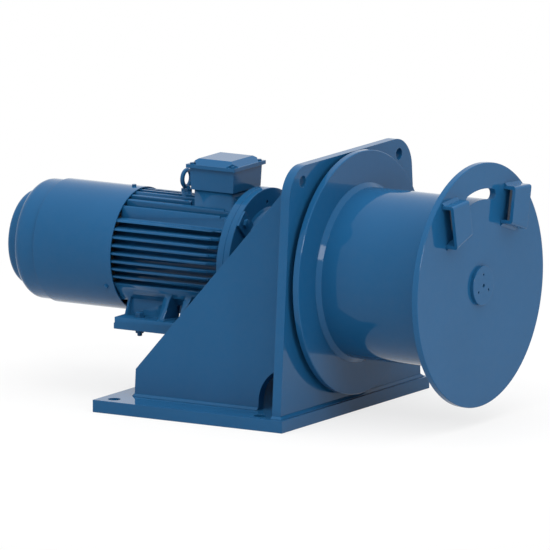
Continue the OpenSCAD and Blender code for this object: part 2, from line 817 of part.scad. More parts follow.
// Laminated rotor with its end rings and their small vanes
module rotor_core() {
  r = stator_in_r - 0.6;
  color(alloy) difference() {
    union() {
      ring(stator_x - stator_l, stator_l, r);
      for (x = [stator_x, stator_x - stator_l - 12]) ring(x, 12, r - 4);
      around(6) {
        translate([stator_x + 11, -2.5, axis_h + 40]) cube([11, 5, 14]);
        translate([stator_x - stator_l - 22, -2.5, axis_h + 40]) cube([11, 5, 14]);
      }
    }
    ring(stator_x - stator_l - 30, stator_l + 60, bearing_seat_r + 5 + seat_gap);
  }
}

// Radial fan that blows both ways round
module cooling_fan() {
  r = cowl_in_r - cowl_step - 11;
  color(rubber) difference() {
    union() {
      ring(fan_x, fan_l, 30);
      ring(fan_x + fan_l - 4, 4, r);
      around(8) translate([fan_x, -1.5, axis_h + 26]) cube([fan_l, 3, r - 30]);
    }
    ring(fan_x - 1, fan_l + 2, motor_shaft_r - 2 + seat_gap);
  }
}

// Friction disc, which runs against the rear end shield
module brake_disc() {
  color(dark_steel) difference() {
    ring(brake_disc_x, disc_t, 66);
    ring(brake_disc_x - 1, disc_t + 2, motor_shaft_r - 2 + seat_gap);
  }
}

// Armature plate that the springs press on the disc and the magnet pulls back
module brake_armature() {
  color(bare_steel) difference() {
    ring(armature_x, armature_t, brake_r - 1, 26);
    around(3, 60) rod_x(armature_x - 1, armature_t + 2, 7, 76);
  }
}

// Magnet housing with its coil groove and its spring bores
module brake_magnet() {
  color(dark_steel) difference() {
    ring(magnet_x, magnet_l, brake_r, 26);
    ring(magnet_x + magnet_l - 38, 39, 62, 38);
    around(6, 30) rod_x(magnet_x + magnet_l - 30, 31, 5, 70);
    brake_screw_holes(magnet_x - 1, magnet_l + 2);
  }
}

// Coil of the brake magnet
module brake_coil() {
  color(copper) ring(magnet_x + magnet_l - 37, 36, 61.5, 38.5);
}

// Screws and spacer sleeves that hold the magnet off the end shield
module brake_screws() {
  sleeve_x = magnet_x + magnet_l;
  color(bare_steel) around(3, 60) {
    hex_x(magnet_x - 5.5, 5.5, 13, 76);
    difference() {
      rod_x(sleeve_x, shield_rear - sleeve_x, 6, 76);
      rod_x(sleeve_x - 1, shield_rear - sleeve_x + 2, 4.1, 76);
    }
    rod_x(magnet_x - eps, shield_rear + 7 - magnet_x, 4, 76);
  }
}

// Fan cowl: a wide tube, a small step, a rear part with a rounded shoulder and its grille
module fan_cowl() {
  r1 = cowl_r;
  r2 = cowl_r - cowl_step;
  w = cowl_wall;
  rr = cowl_round;
  x2 = cowl_rear;
  cap_r = rear_cap_d / 2;
  arc = [for (i = [0 : 6]) let (a = i * 15) [x2 + rr * (1 - sin(a)), r2 - rr * (1 - cos(a))]];
  arc_in = [for (i = [6 : -1 : 0]) let (a = i * 15)
    [x2 + rr - (rr - w) * sin(a), r2 - rr + (rr - w) * cos(a)]];
  color(paint) difference() {
    turned(concat(
      [[cowl_x, r1 - w], [cowl_x, r1], [cowl_mid, r1], [cowl_mid, r2]],
      arc, [[x2, cap_r - 14], [x2 + w, cap_r - 14]], arc_in,
      [[cowl_mid + w, r2 - w], [cowl_mid + w, r1 - w]]));
    for (a = cowl_screw_angles) on_turn(a - 90)
      translate([cowl_screw_x, 0, axis_h + cowl_in_r - 2]) cylinder(h = 9, r = 3.3, $fn = 32);
  }
}

// Rear cap with its air inlet: ring slots crossed by spokes
module cowl_rear_cap() {
  x0 = cowl_rear - rear_cap_l;
  r = rear_cap_d / 2;
  w = cowl_wall;
  rr = 9;
  arc = [for (i = [0 : 4]) let (a = i * 22.5) [x0 + rr * (1 - sin(a)), r - rr * (1 - cos(a))]];
  arc_in = [for (i = [4 : -1 : 0]) let (a = i * 22.5)
    [x0 + rr - (rr - w) * sin(a), r - rr + (rr - w) * cos(a)]];
  color(paint) difference() {
    turned(concat([[cowl_rear, r - w], [cowl_rear, r]], arc, [[x0, 0], [x0 + w, 0]], arc_in));
    difference() {
      for (i = [0 : 5]) ring(x0 - 1, w + 2, 32 + i * 11, 26 + i * 11);
      for (i = [0 : 5]) on_turn(i * 30) translate([x0 - 2, -4, axis_h - r]) cube([w + 4, 8, 2 * r]);
    }
  }
}

// Cap screws of the cowl, on the three lugs of the rear end shield
module cowl_screws() {
  color(bare_steel) for (a = cowl_screw_angles) on_turn(a - 90)
    translate([cowl_screw_x, 0, axis_h + cowl_r]) {
      cylinder(h = 4, r = 4.6, $fn = 32);
      translate([0, 0, -16]) cylinder(h = 16.01, r = 3, $fn = 32);
    }
}

// A frustum with rectangular ends, centred over a point
module rect_frustum(l1, w1, l2, w2, h) {
  hull() {
    translate([-l1 / 2, -w1 / 2, 0]) cube([l1, w1, tiny / 10]);
    translate([-l2 / 2, -w2 / 2, h - tiny / 10]) cube([l2, w2, tiny / 10]);
  }
}

box_bl = box_l - 2 * box_inset_x;
box_bw = box_w - 2 * box_inset_y;
box_floor = 4;
screw_x = box_l / 2 - lid_corner;
screw_y = box_w / 2 - lid_corner;

// Copies at the lid's four screws
module at_lid_screws(z) {
  for (sx = [-1, 1], sy = [-1, 1]) translate([box_x + sx * screw_x, sy * screw_y, z]) children();
}

// Outside of the box body
module box_outside() {
  translate([box_x, 0, box_bottom])
    rect_frustum(box_bl - 2 * box_draft_x, box_bw - 2, box_bl, box_bw, box_h - gasket_t);
}

// Terminal box body with tapering walls, an open top and a wire hole in its floor
module terminal_box() {
  color(paint) difference() {
    union() {
      difference() {
        box_outside();
        translate([box_x, 0, box_bottom + box_floor])
          rect_frustum(box_bl - 2 * box_draft_x - 2 * box_wall, box_bw - 2 - 2 * box_wall,
                       box_bl - 2 * box_wall, box_bw - 2 * box_wall, box_h);
      }
      intersection() {
        box_outside();
        at_lid_screws(box_bottom + 1) cylinder(h = box_h, r = 6.5, $fn = 32);
      }
    }
    at_lid_screws(lid_z - 14) cylinder(h = 20, r = 2.5 + seat_gap, $fn = 32);
    translate([box_x - 20, 22, box_bottom - 1]) cube([40, 18, box_floor + 2]);
    for (x = [-22, 22]) translate([box_x + x, box_bw / 2 + 2, box_bottom + box_h / 2 - 2])
      rotate([90, 0, 0]) cylinder(h = box_wall + 6, r = 10.1);
  }
}

// Flat gasket under the lid
module box_gasket() {
  l = box_bl - 2 * box_wall;
  w = box_bw - 2 * box_wall;
  color(rubber) difference() {
    translate([box_x - box_bl / 2, -box_bw / 2, lid_z - gasket_t]) cube([box_bl, box_bw, gasket_t]);
    difference() {
      translate([box_x - l / 2, -w / 2, lid_z - gasket_t - 1]) cube([l, w, gasket_t + 2]);
      at_lid_screws(lid_z - gasket_t - 2) cylinder(h = gasket_t + 4, r = 6.5, $fn = 32);
    }
    at_lid_screws(lid_z - gasket_t - 1) cylinder(h = gasket_t + 2, r = 2.8, $fn = 32);
  }
}

// Lid with a low bevelled middle and a triangular pocket at each corner for its screw
module box_lid() {
  run = 19;
  leg = 27;
  color(paint) difference() {
    translate([box_x, 0, lid_z]) difference() {
      union() {
        translate([-box_l / 2, -box_w / 2, 0]) cube([box_l, box_w, lid_rim]);
        translate([0, 0, lid_rim - eps])
          rect_frustum(box_l - 7, box_w - 7, box_l - 2 * run, box_w - 2 * run, lid_rise);
      }
      translate([-box_bl / 2 + 8, -box_bw / 2 + 8, -1]) cube([box_bl - 16, box_bw - 16, lid_rim - 2]);
      translate([-box_l / 2 + run + 3, -box_w / 2 + run + 3, -1])
        cube([box_l - 2 * run - 6, box_w - 2 * run - 6, lid_rim + lid_rise - 3]);
      for (sx = [-1, 1], sy = [-1, 1])
        translate([sx * box_l / 2, sy * box_w / 2, lid_rim]) linear_extrude(height = lid_rise + 1)
          polygon([[sx, sy], [-sx * leg, sy], [sx, -sy * leg]]);
    }
    at_lid_screws(lid_z - 1) cylinder(h = lid_rim + 2, r = 2.8, $fn = 32);
    at_lid_screws(lid_z + lid_rim - 1) cylinder(h = 2, r = 5.5, $fn = 32);
  }
}

// Slotted cap screws in the lid's corners
module lid_screws() {
  color(bare_steel) at_lid_screws(lid_z + lid_rim - 1) {
    difference() {
      cylinder(h = 3.8, r = 4.5, $fn = 32);
      translate([-5, -0.6, 2.4]) cube([10, 1.2, 2]);
    }
    translate([0, 0, -18]) cylinder(h = 18 + eps, r = 2.5, $fn = 32);
  }
}

// Terminal board with its six studs and nuts
module terminal_board() {
  z = box_bottom + box_floor;
  color(moulding) translate([box_x - 34, -36, z]) difference() {
    cube([68, 44, 9]);
    for (i = [0 : 2], j = [0, 1])
      translate([14 + i * 20, 11 + j * 22, 3]) cylinder(h = 10, r = 2.55, $fn = 32);
    for (i = [0, 1]) translate([23 + i * 20, -1, 6]) cube([2, 46, 4]);
  }
  color("gold") for (i = [0 : 2], j = [0, 1])
    translate([box_x - 20 + i * 20, -25 + j * 22, z + 3]) {
      cylinder(h = 20, r = 2.5, $fn = 32);
      translate([0, 0, 8]) cylinder(h = 4, r = 5, $fn = 6);
    }
}

// Blanking plugs in the two cable entries on the far side of the box
module cable_plugs() {
  color(rubber) for (x = [-22, 22])
    translate([box_x + x, box_bw / 2, box_bottom + box_h / 2 - 2]) rotate([90, 0, 0]) {
      translate([0, 0, -5]) cylinder(h = 5, r = 13, $fn = 6);
      translate([0, 0, -1]) cylinder(h = 8, r = 10);
    }
}

// Lifting eye screwed into its boss: collar, ring and thread shank
module lifting_eye() {
  ring_r = 16.5;
  wire_r = 4.5;
  color(paint) translate([eye_x, 0, eye_z]) {
    cylinder(h = 5, r = 11);
    translate([0, 0, 4.9]) cylinder(h = 6, r1 = 9, r2 = 6);
    translate([0, 0, -15]) cylinder(h = 15 + eps, r = 5, $fn = 48);
    translate([0, 0, 9 + ring_r]) rotate([0, 90, 0]) rotate_extrude()
      translate([ring_r, 0]) circle(r = wire_r);
  }
}

// Bolts and nuts in the four foot holes
module foot_bolts() {
  color(paint_dark) for (side = [-1, 1], x = [foot_rear_x, foot_front_x])
    translate([x, side * foot_pitch_y / 2, foot_z]) {
      translate([0, 0, foot_t]) cylinder(h = 2.2, r = 9.8, $fn = 48);
      translate([0, 0, foot_t + 2.2]) cylinder(h = 7.5, r = 9.3, $fn = 6);
      translate([0, 0, -15]) cylinder(h = foot_t + 15 + 2.21, r = 5, $fn = 48);
      translate([0, 0, -9]) cylinder(h = 9, r = 9.6, $fn = 6);
    }
}

// Rigid sleeve that joins the motor shaft to the input shaft
module shaft_coupling() {
  x0 = flange_face + 20;
  x1 = input_shaft_x + 46;
  mid = shaft_end + 4;
  color(bare_steel) difference() {
    turned([[x0, motor_shaft_r + seat_gap], [x0, 42], [x1 - 4, 42], [x1, 38],
            [x1, shaft_r + seat_gap], [mid, shaft_r + seat_gap], [mid, motor_shaft_r + seat_gap]]);
    for (x = [x0 + 18, x1 - 18]) translate([x, 0, axis_h]) cylinder(h = 60, r = 4, $fn = 32);
  }
}

// Input shaft through the hollow spindle, with the first sun gear cut on its end
module input_shaft() {
  color(bare_steel) {
    ring(input_shaft_x, input_shaft_end - input_shaft_x, shaft_r);
    spur_gear(input_x, input_face, sun_teeth, 0);
  }
}

// Spindle: flange on the mounting plate, spigot and bearing seats
module spindle() {
  bearing_stop = spindle_r + 7;
  color(dark_steel) difference() {
    turned([
      [plate_front - spigot_len, spindle_bore_r], [plate_front - spigot_len, plate_bore_r - seat_gap],
      [plate_front, plate_bore_r - seat_gap], [plate_front, spindle_flange_r],
      [plate_front + spindle_flange_t, spindle_flange_r], [plate_front + spindle_flange_t, bearing_stop],
      [bearing_x1, bearing_stop], [bearing_x1, spindle_r], [spindle_end, spindle_r],
      [spindle_end, input_bearing_r + seat_gap], [input_bearing_x2 - seat_gap, input_bearing_r + seat_gap],
      [input_bearing_x2 - seat_gap, input_bearing_r - 5],
      [input_bearing_x1 + input_bearing_w + seat_gap, input_bearing_r - 5],
      [input_bearing_x1 + input_bearing_w + seat_gap, input_bearing_r + seat_gap],
      [input_bearing_x1 - 6, input_bearing_r + seat_gap], [input_bearing_x1 - 6, spindle_bore_r]
    ]);
    around(8, 22.5) rod_x(plate_front - 1, 15.2, 8.05, adapter_bolt_r);
    around(6) rod_x(spindle_end - 24, 25, 5.05, 48);
  }
}

// Inner rings and balls of the two bearings that carry the drum
module spindle_bearings() {
  color(bare_steel) for (x = [bearing_x1, bearing_x2]) {
    inner_race(x, bearing_w, bearing_r, spindle_r, seat_gap);
    bearing_balls(x, bearing_w, bearing_r, spindle_r, 14);
  }
}

// Outer rings of the two drum bearings, which turn with the drum
module bearing_outer_rings() {
  color(bare_steel) for (x = [bearing_x1, bearing_x2])
    outer_race(x, bearing_w, bearing_r, spindle_r, 0.3);
}

// Involute function, in degrees
function inv(a) = tan(a) * 180 / PI - a;

// Half angle of a tooth at radius r, for a tooth thinned by a play on the pitch circle
function half_tooth(r, teeth, play) =
  let (rp = gear_m * teeth / 2, rb = rp * cos(pressure), ra = max(r, rb))
  90 / teeth - play / 2 / rp * 180 / PI + inv(pressure) - inv(acos(rb / ra));

// Outline of a toothed wheel with involute flanks, from its root to its tip radius
function wheel_outline(teeth, root_r, tip_r, play) =
  let (rb = gear_m * teeth / 2 * cos(pressure), r0 = max(root_r, rb), steps = 4,
       radii = concat(root_r < r0 - eps ? [root_r] : [],
                      [for (i = [0 : steps]) r0 + (tip_r - r0) * i / steps]),
       n = len(radii) - 1)
  [for (k = [0 : teeth - 1], i = [0 : 2 * n + 1])
    let (r = radii[i <= n ? i : 2 * n + 1 - i],
         a = k * 360 / teeth + (i <= n ? -1 : 1) * half_tooth(r, teeth, play))
    [r * cos(a), r * sin(a)]];

// Turn of a planet at a place round the sun, so that its teeth are in mesh
function planet_phase(place) = 180 - 180 / planet_teeth + place * (1 + sun_teeth / planet_teeth);
ring_phase = planet_teeth % 2 == 0 ? 180 / ring_teeth : 0;

// A spur gear along the drum axis with a bore
module spur_gear(x, face, teeth, bore_r, turn = 0) {
  rp = gear_m * teeth / 2;
  on_axis(x) difference() {
    rotate([0, 0, turn]) linear_extrude(height = face)
      polygon(wheel_outline(teeth, rp - dedendum, rp + addendum, backlash / 2));
    if (bore_r > 0) translate([0, 0, -1]) cylinder(h = face + 2, r = bore_r);
  }
}

// One planet gear at its place round the sun
module planet(x, face, place) {
  angle = place * 120;
  translate([0, centre_a * sin(angle), -centre_a * cos(angle)])
    spur_gear(x, face, planet_teeth, pin_r + run_gap, planet_phase(angle));
}

// Planet gears of the two stages
module output_planet(place) {
  color(bare_steel) planet(output_x, output_face, place);
}

module input_planet(place) {
  color(bare_steel) planet(input_x, input_face, place);
}

// Planet carrier: two plates joined by three bridges between the planets
module carrier(x0, t1, x1, t2, bore1, bore2) {
  difference() {
    union() {
      ring(x0, t1, carrier_r);
      ring(x1, t2, carrier_r);
      around(3) rod_x(x0 + 1, x1 - x0 + t2 - 2, bridge_r, bridge_at);
    }
    ring(x0 - 1, t1 + 2, bore1);
    ring(x1 - 1, t2 + 2, bore2);
    around(3, 180) rod_x(x0 - 1, x1 - x0 + t2 + 2, pin_r + seat_gap, centre_a);
  }
}

// Carrier of the output stage, held still by the spindle
module output_carrier() {
  color(dark_steel) difference() {
    carrier(spindle_end, carrier_t1, output_end + side_gap, carrier_t2, 30, 30);
    around(6) rod_x(spindle_end - 1, carrier_t1 + 2, 5.5, 48);
    around(6) rod_x(spindle_end + carrier_t1 - 6.5, 7, 8.1, 48);
  }
}

// Planet pins of the output stage, and the screws that hold its carrier
module output_pins() {
  color(bare_steel) {
    around(3, 180) rod_x(spindle_end + 0.5, output_face + carrier_t1 + carrier_t2 + 1, pin_r, centre_a);
    around(6) {
      rod_x(spindle_end - 20, 20 + carrier_t1 - 1, 5, 48);
      rod_x(spindle_end + carrier_t1 - 6.5, 6, 8, 48);
    }
  }
}

// Sun gear of the output stage, with its neck in the input carrier
module output_sun() {
  color(bare_steel) {
    spur_gear(output_x, output_face, sun_teeth, shaft_r + free_gap);
    ring(output_end, input_plate_x + carrier_t2 - output_end, output_neck_r, shaft_r + free_gap);
  }
}

// Carrier of the input stage, which turns the output sun
module input_carrier() {
  color(dark_steel)
    carrier(input_plate_x, carrier_t2, input_front_x, 8, output_neck_r + seat_gap, 30);
}

// Planet pins of the input stage
module input_pins() {
  color(bare_steel) around(3, 180)
    rod_x(input_plate_x + 0.5, carrier_end - input_plate_x - 1, pin_r, centre_a);
}

// Ring gear of both stages, with its screw holes
module ring_gear() {
  color(dark_steel) difference() {
    ring(ring_x, ring_end - ring_x, ring_out_r);
    on_axis(ring_x - 1) rotate([0, 0, ring_phase]) linear_extrude(height = ring_end - ring_x + 2)
      polygon(wheel_outline(ring_teeth, ring_tip_r, ring_root_r, -backlash / 2));
    around(12, 15) rod_x(ring_x - 1, 22, 5.05, ring_out_r - 9);
    around(12, 15) rod_x(ring_end - 16, 17, 4.05, ring_out_r - 9);
  }
}

// Cover over the open end of the ring gear
module gear_cover() {
  color(dark_steel) difference() {
    ring(ring_end, gear_cover_t, ring_out_r);
    around(12, 15) rod_x(ring_end - 1, gear_cover_t + 2, 4.5, ring_out_r - 9);
  }
}

// Cone of a countersunk head along +X
module sunk_head(x, r1, r2, at_r) {
  translate([x, 0, axis_h + at_r]) rotate([0, 90, 0]) cylinder(h = 5, r1 = r1, r2 = r2, $fn = 48);
}

// Drum hub: bearing housing between the inner flange and the ring gear
module drum_hub() {
  lip = bearing_r - 6;
  color(paint_dark) difference() {
    turned([
      [hub_flange_x, hub_seal_r], [hub_flange_x, hub_flange_r], [inner_x, hub_flange_r],
      [inner_x, hub_pilot_r], [inner_x + inner_flange_t - 1, hub_pilot_r],
      [inner_x + inner_flange_t + 1, hub_r + 12], [inner_x + inner_flange_t + 14, hub_r],
      [hub_end - 15, hub_r], [hub_end - 12, hub_r + 4], [hub_end - 12, ring_out_r],
      [hub_end, ring_out_r], [hub_end, lip], [bearing_x2 + bearing_w + 0.5, lip],
      [bearing_x2 + bearing_w + 0.5, bearing_r], [bearing_x1 - 1, bearing_r],
      [bearing_x1 - 1, hub_seal_r]
    ]);
    around(12, 15) rod_x(hub_flange_x - 1, hub_flange_t + 2, 5.5, barrel_in_r - 2);
    around(12, 15) sunk_head(hub_flange_x - 0.2, 9.6, 5.5, barrel_in_r - 2);
    around(12, 15) rod_x(hub_end - 13, 14, 5.5, ring_out_r - 9);
  }
}

// Shaft seal between the turning hub and the standing spindle flange
module hub_seal() {
  color(rubber) ring(hub_flange_x + 2, 8, hub_seal_r - seat_gap, spindle_flange_r + 0.3);
}

// Drum barrel with the fillet welds at its two ends
module drum_barrel() {
  w = drum_weld_leg;
  color(paint) turned([
    [barrel_x, barrel_in_r], [barrel_x, barrel_r + w], [barrel_x + w, barrel_r],
    [disc_x, barrel_r], [disc_x, barrel_in_r - 5], [disc_x - 5, barrel_in_r]
  ]);
}

// Drum flange next to the mounting plate
module inner_flange() {
  r = inner_flange_d / 2;
  color(paint) difference() {
    turned([
      [inner_x, hub_pilot_r + seat_gap], [inner_x, r - 1.5], [inner_x + 1.5, r],
      [barrel_x - 1.5, r], [barrel_x, r - 1.5], [barrel_x, hub_pilot_r + seat_gap]
    ]);
    around(12, 15) rod_x(inner_x - 1, inner_flange_t + 2, 5.05, barrel_in_r - 2);
  }
}

// Arc slot of the rope, centred at the top of the outer disc
// Its round ends are a hair slimmer than the arc, so that the two cross cleanly
module rope_slot(x, len) {
  on_axis(x) {
    intersection() {
      difference() {
        cylinder(h = len, r = slot_r + slot_w / 2);
        translate([0, 0, -1]) cylinder(h = len + 2, r = slot_r - slot_w / 2);
      }
      linear_extrude(height = len) polygon([
        [0, 0], [-far * cos(slot_half_angle), far * sin(slot_half_angle)],
        [-far * cos(slot_half_angle), -far * sin(slot_half_angle)]]);
    }
    for (s = [-1, 1]) rotate([0, 0, s * slot_half_angle]) translate([-slot_r, 0, 0])
      cylinder(h = len, r = slot_w / 2 - 0.03);
  }
}

// Outer disc with its rope slot and the seat of the hub cap
module outer_disc() {
  r = outer_disc_d / 2;
  color(paint) difference() {
    turned([
      [disc_x, cap_seat_r], [disc_x, r - 1.2], [disc_x + 1.2, r], [disc_face - 1.2, r],
      [disc_face, r - 1.2], [disc_face, cap_seat_r]
    ]);
    rope_slot(disc_x - 1, outer_disc_t + 2);
  }
}

// Hub cap with its centre hole and three small holes
module hub_cap() {
  r = hub_cap_d / 2;
  end = disc_face + hub_cap_h;
  color(paint) difference() {
    turned([
      [disc_x + 1, hub_bore_d / 2], [disc_x + 1, cap_seat_r - seat_gap],
      [disc_face, cap_seat_r - seat_gap], [disc_face, r], [end - 1, r], [end, r - 1],
      [end, hub_bore_d / 2]
    ]);
    around(3) rod_x(disc_face + 2, hub_cap_h, hub_hole_d / 2, hub_hole_circle / 2);
  }
}

socket_slope = atan((socket_h_wide - socket_h_narrow) / 2 / socket_l);

// Tapered outline of a socket shrunk by a wall, in its own length and height
function socket_outline(inset, reach = 0) = [
  for (p = [[-1, 1], [1, 1], [1, -1], [-1, -1]])
    let (u = p[0] * (socket_l / 2 + reach), h = socket_half(u) - inset) [u, p[1] * h]];

// Half height of a socket along its length
function socket_half(u) =
  (socket_h_narrow + socket_h_wide) / 4 + u * (socket_h_wide - socket_h_narrow) / 2 / socket_l;

// Places a child on the outer disc at a socket: local X runs along it towards its wide
// end, local Y across it and local Z away from the disc
module at_socket(side) {
  sided(-side) translate([disc_face, socket_y, axis_h + socket_z])
    rotate([-socket_tilt, 0, 0]) rotate([90, 0, 90]) children();
}

// One wedge socket: a tapered channel, open to the disc and at both ends
module socket() {
  rr = 6;
  d = socket_depth;
  difference() {
    intersection() {
      union() {
        linear_extrude(height = d - rr) polygon(socket_outline(0, 5));
        linear_extrude(height = d) polygon(socket_outline(rr / cos(socket_slope), 5));
        for (s = [-1, 1])
          translate([0, s * (socket_half(0) - rr / cos(socket_slope)), d - rr])
            rotate([0, 0, s * socket_slope]) rotate([0, 90, 0])
              translate([0, 0, -socket_l]) cylinder(h = 2 * socket_l, r = rr);
      }
      translate([-socket_l / 2, -far, 0]) cube([socket_l, 2 * far, d]);
    }
    translate([0, 0, -1]) linear_extrude(height = d - socket_wall + 1)
      polygon(socket_outline(socket_wall, 5));
  }
}

// Weld beads along a socket's two long edges
module socket_welds() {
  for (s = [-1, 1])
    translate([0, s * (socket_half(0) - 0.1), 0]) rotate([0, 0, s * socket_slope])
      translate([-socket_l / 2 + 2, 0, 0]) rotate([90, 0, 90])
        linear_extrude(height = socket_l - 4)
          polygon([[0, 0], [s * weld_leg, 0], [0, weld_leg]]);
}

// The two wedge sockets that hold the rope end on the outer disc
module rope_sockets() {
  color(paint) for (side = [-1, 1]) at_socket(side) {
    socket();
    socket_welds();
  }
}

// Screws of the hub, of the ring gear and of the gear cover
module drum_screws() {
  color(bare_steel) {
    around(12, 15) {
      rod_x(hub_flange_x + 1, hub_flange_t + inner_flange_t - 2, 5, barrel_in_r - 2);
      sunk_head(hub_flange_x + 0.2, 9, 5, barrel_in_r - 2);
      rod_x(hub_end - 12 - 0.01, 30, 5, ring_out_r - 9);
      rod_x(hub_end - 22, 10, 7.5, ring_out_r - 9);
      rod_x(ring_end - 14, 14 + gear_cover_t + 0.01, 4, ring_out_r - 9);
      rod_x(ring_end + gear_cover_t, 6, 6.5, ring_out_r - 9);
    }
  }
}

base_plate();
mounting_plate();
gusset(-1);  // gusset_near
gusset(1);  // gusset_far
frame_welds();
motor_adapter();
adapter_screws();
flange_screws();
motor_frame();
drive_end_shield();
rear_end_shield();
stator_core();
stator_windings();
shaft_bearings();
fan_cowl();
cowl_rear_cap();
cowl_screws();
terminal_box();
box_gasket();
box_lid();
lid_screws();
terminal_board();
cable_plugs();
lifting_eye();
foot_bolts();
brake_magnet();
brake_coil();
brake_screws();
brake_armature();
motor_shaft();
bearing_inner_rings();
rotor_core();
cooling_fan();
brake_disc();
shaft_coupling();
input_shaft();
spindle();
spindle_bearings();
output_carrier();
output_pins();
output_planet(0);  // output_planet_a
output_planet(1);  // output_planet_b
output_planet(2);  // output_planet_c
output_sun();
input_carrier();
input_pins();
input_planet(0);  // input_planet_a
input_planet(1);  // input_planet_b
input_planet(2);  // input_planet_c
ring_gear();
gear_cover();
drum_hub();
bearing_outer_rings();
hub_seal();
drum_barrel();
inner_flange();
outer_disc();
hub_cap();
rope_sockets();
drum_screws();
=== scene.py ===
import bmesh
import bpy
import numpy as np
from bpy.props import FloatProperty, FloatVectorProperty, PointerProperty
from mathutils import Matrix, Vector


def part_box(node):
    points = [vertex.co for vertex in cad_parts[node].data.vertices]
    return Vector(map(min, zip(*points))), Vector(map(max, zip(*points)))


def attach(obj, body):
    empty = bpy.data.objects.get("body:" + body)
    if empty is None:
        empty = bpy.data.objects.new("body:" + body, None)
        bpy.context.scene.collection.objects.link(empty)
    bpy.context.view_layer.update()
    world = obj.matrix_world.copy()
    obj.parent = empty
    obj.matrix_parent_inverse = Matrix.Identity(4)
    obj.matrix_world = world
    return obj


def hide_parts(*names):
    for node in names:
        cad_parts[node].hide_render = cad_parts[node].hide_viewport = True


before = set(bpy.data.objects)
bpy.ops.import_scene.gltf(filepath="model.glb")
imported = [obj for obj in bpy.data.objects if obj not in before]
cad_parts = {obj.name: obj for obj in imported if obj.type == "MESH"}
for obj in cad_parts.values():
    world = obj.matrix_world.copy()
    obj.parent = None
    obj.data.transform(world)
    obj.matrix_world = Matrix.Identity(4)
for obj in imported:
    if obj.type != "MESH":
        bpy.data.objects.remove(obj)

bl_info = {
    "name": "Wire Rope Winch Looks",
    "version": (1, 0, 0),
    "blender": (4, 5, 0),
    "location": "3D View > Sidebar > Winch",
    "description": "Finishes, cast ribs and screws for a wire rope winch around its fixed frame",
    "category": "Object",
}

# The drum axis' height, two directions, and the radii of the screw circles, in metres
AXIS_Z = 0.283
ALONG_X = (1.0, 0.0, 0.0)
UPWARDS = (0.0, 0.0, 1.0)
BOLT_CIRCLE_R = 0.1325
ADAPTER_SCREW_R = 0.092

# Places on the cast frame along X, in metres
FRONT_RING_X = -0.02
SHOULDER_END_X = -0.0169
RIB_STEP_X = (-0.036, -0.0171)
RIB_NOTCH_X = (-0.0395, -0.037)
NECK_REAR_X = -0.1097
INNER_RIBS_END_X = -0.123

# Clear of everything on the cast frame, from the axis outwards
FAR = 0.14

# Nodes of the frame by the finish they get
ENAMEL_PLATE = ["base_plate", "mounting_plate", "gusset_near", "gusset_far", "drum_barrel",
                "inner_flange", "outer_disc", "hub_cap", "rope_sockets"]
ENAMEL_WELD = ["frame_welds"]
ENAMEL_CASTING = ["motor_adapter", "motor_frame", "terminal_box", "box_lid", "drum_hub"]
ENAMEL_TURNED = ["drive_end_shield"]
ENAMEL_SHEET = ["fan_cowl", "cowl_rear_cap"]
ENAMEL_SMALL = ["lifting_eye", "foot_bolts", "adapter_screws", "flange_screws", "cowl_screws",
                "lid_screws"]
TURNED_STEEL = ["motor_shaft", "input_shaft", "shaft_coupling", "spindle", "output_pins",
                "input_pins", "shaft_bearings", "bearing_inner_rings", "bearing_outer_rings",
                "spindle_bearings", "brake_screws", "drum_screws", "brake_armature"]
GEAR_STEEL = ["ring_gear", "output_planet_a", "output_planet_b", "output_planet_c",
              "input_planet_a", "input_planet_b", "input_planet_c", "output_sun",
              "output_carrier", "input_carrier", "gear_cover"]
BARE_CASTING = ["rear_end_shield", "brake_magnet"]
LAMINATED = ["stator_core"]
ROTOR_ALLOY = ["rotor_core"]
WOUND_COPPER = ["stator_windings", "brake_coil"]
MOULDED_FAN = ["cooling_fan"]
SOFT_RUBBER = ["box_gasket", "cable_plugs", "hub_seal"]
MOULDED_BOARD = ["terminal_board"]
FRICTION = ["brake_disc"]


# Node building

class Tree:
    """Adds nodes to a material or a group, laid out in columns as they come."""

    def __init__(self, tree):
        self.tree = tree
        self.count = 0

    def add(self, kind, **values):
        """A node with properties set by name and sockets set by number or name."""
        node = self.tree.nodes.new(kind)
        node.location = (220 * (self.count // 5), -190 * (self.count % 5))
        self.count += 1
        for key, value in values.items():
            if hasattr(node, key):
                setattr(node, key, value)
            else:
                self.put(node, key, value)
        return node

    def put(self, node, key, value):
        """Links a socket to another node's output, or sets its own value."""
        socket = node.inputs[int(key[1:])] if key[0] == "_" else node.inputs[key.replace("_", " ")]
        if isinstance(value, bpy.types.NodeSocket):
            self.tree.links.new(value, socket)
        else:
            socket.default_value = value

    def math(self, operation, a, b=0.0, clamp=False):
        """A Math node's result."""
        node = self.add("ShaderNodeMath", operation=operation, use_clamp=clamp)
        self.put(node, "_0", a)
        self.put(node, "_1", b)
        return node.outputs[0]

    def noise(self, coords, scale, detail=3.0, rough=0.5):
        """Noise between 0 and 1 on given coordinates."""
        node = self.add("ShaderNodeTexNoise", _0=coords)
        node.inputs["Scale"].default_value = scale
        node.inputs["Detail"].default_value = detail
        node.inputs["Roughness"].default_value = rough
        return node.outputs["Fac"]

    def ramp(self, value, low, high, out_low=0.0, out_high=1.0):
        """A straight ramp of a value between two limits, held flat outside them."""
        node = self.add("ShaderNodeMapRange", _0=value, _1=low, _2=high, _3=out_low, _4=out_high)
        node.clamp = True
        return node.outputs[0]

    def mix(self, factor, a, b):
        """A mix of two colours."""
        node = self.add("ShaderNodeMix", data_type="RGBA")
        self.put(node, "_0", factor)
        self.put(node, "_6", a)
        self.put(node, "_7", b)
        return node.outputs[2]


def linear(rgb):
    """Scene-linear colour from display values: a power above the toe, a line inside it."""
    c = np.array(rgb, dtype=float)
    out = np.where(c <= 0.04045, c / 12.92, ((c + 0.055) / 1.055) ** 2.4)
    return [float(x) for x in out] + [1.0]


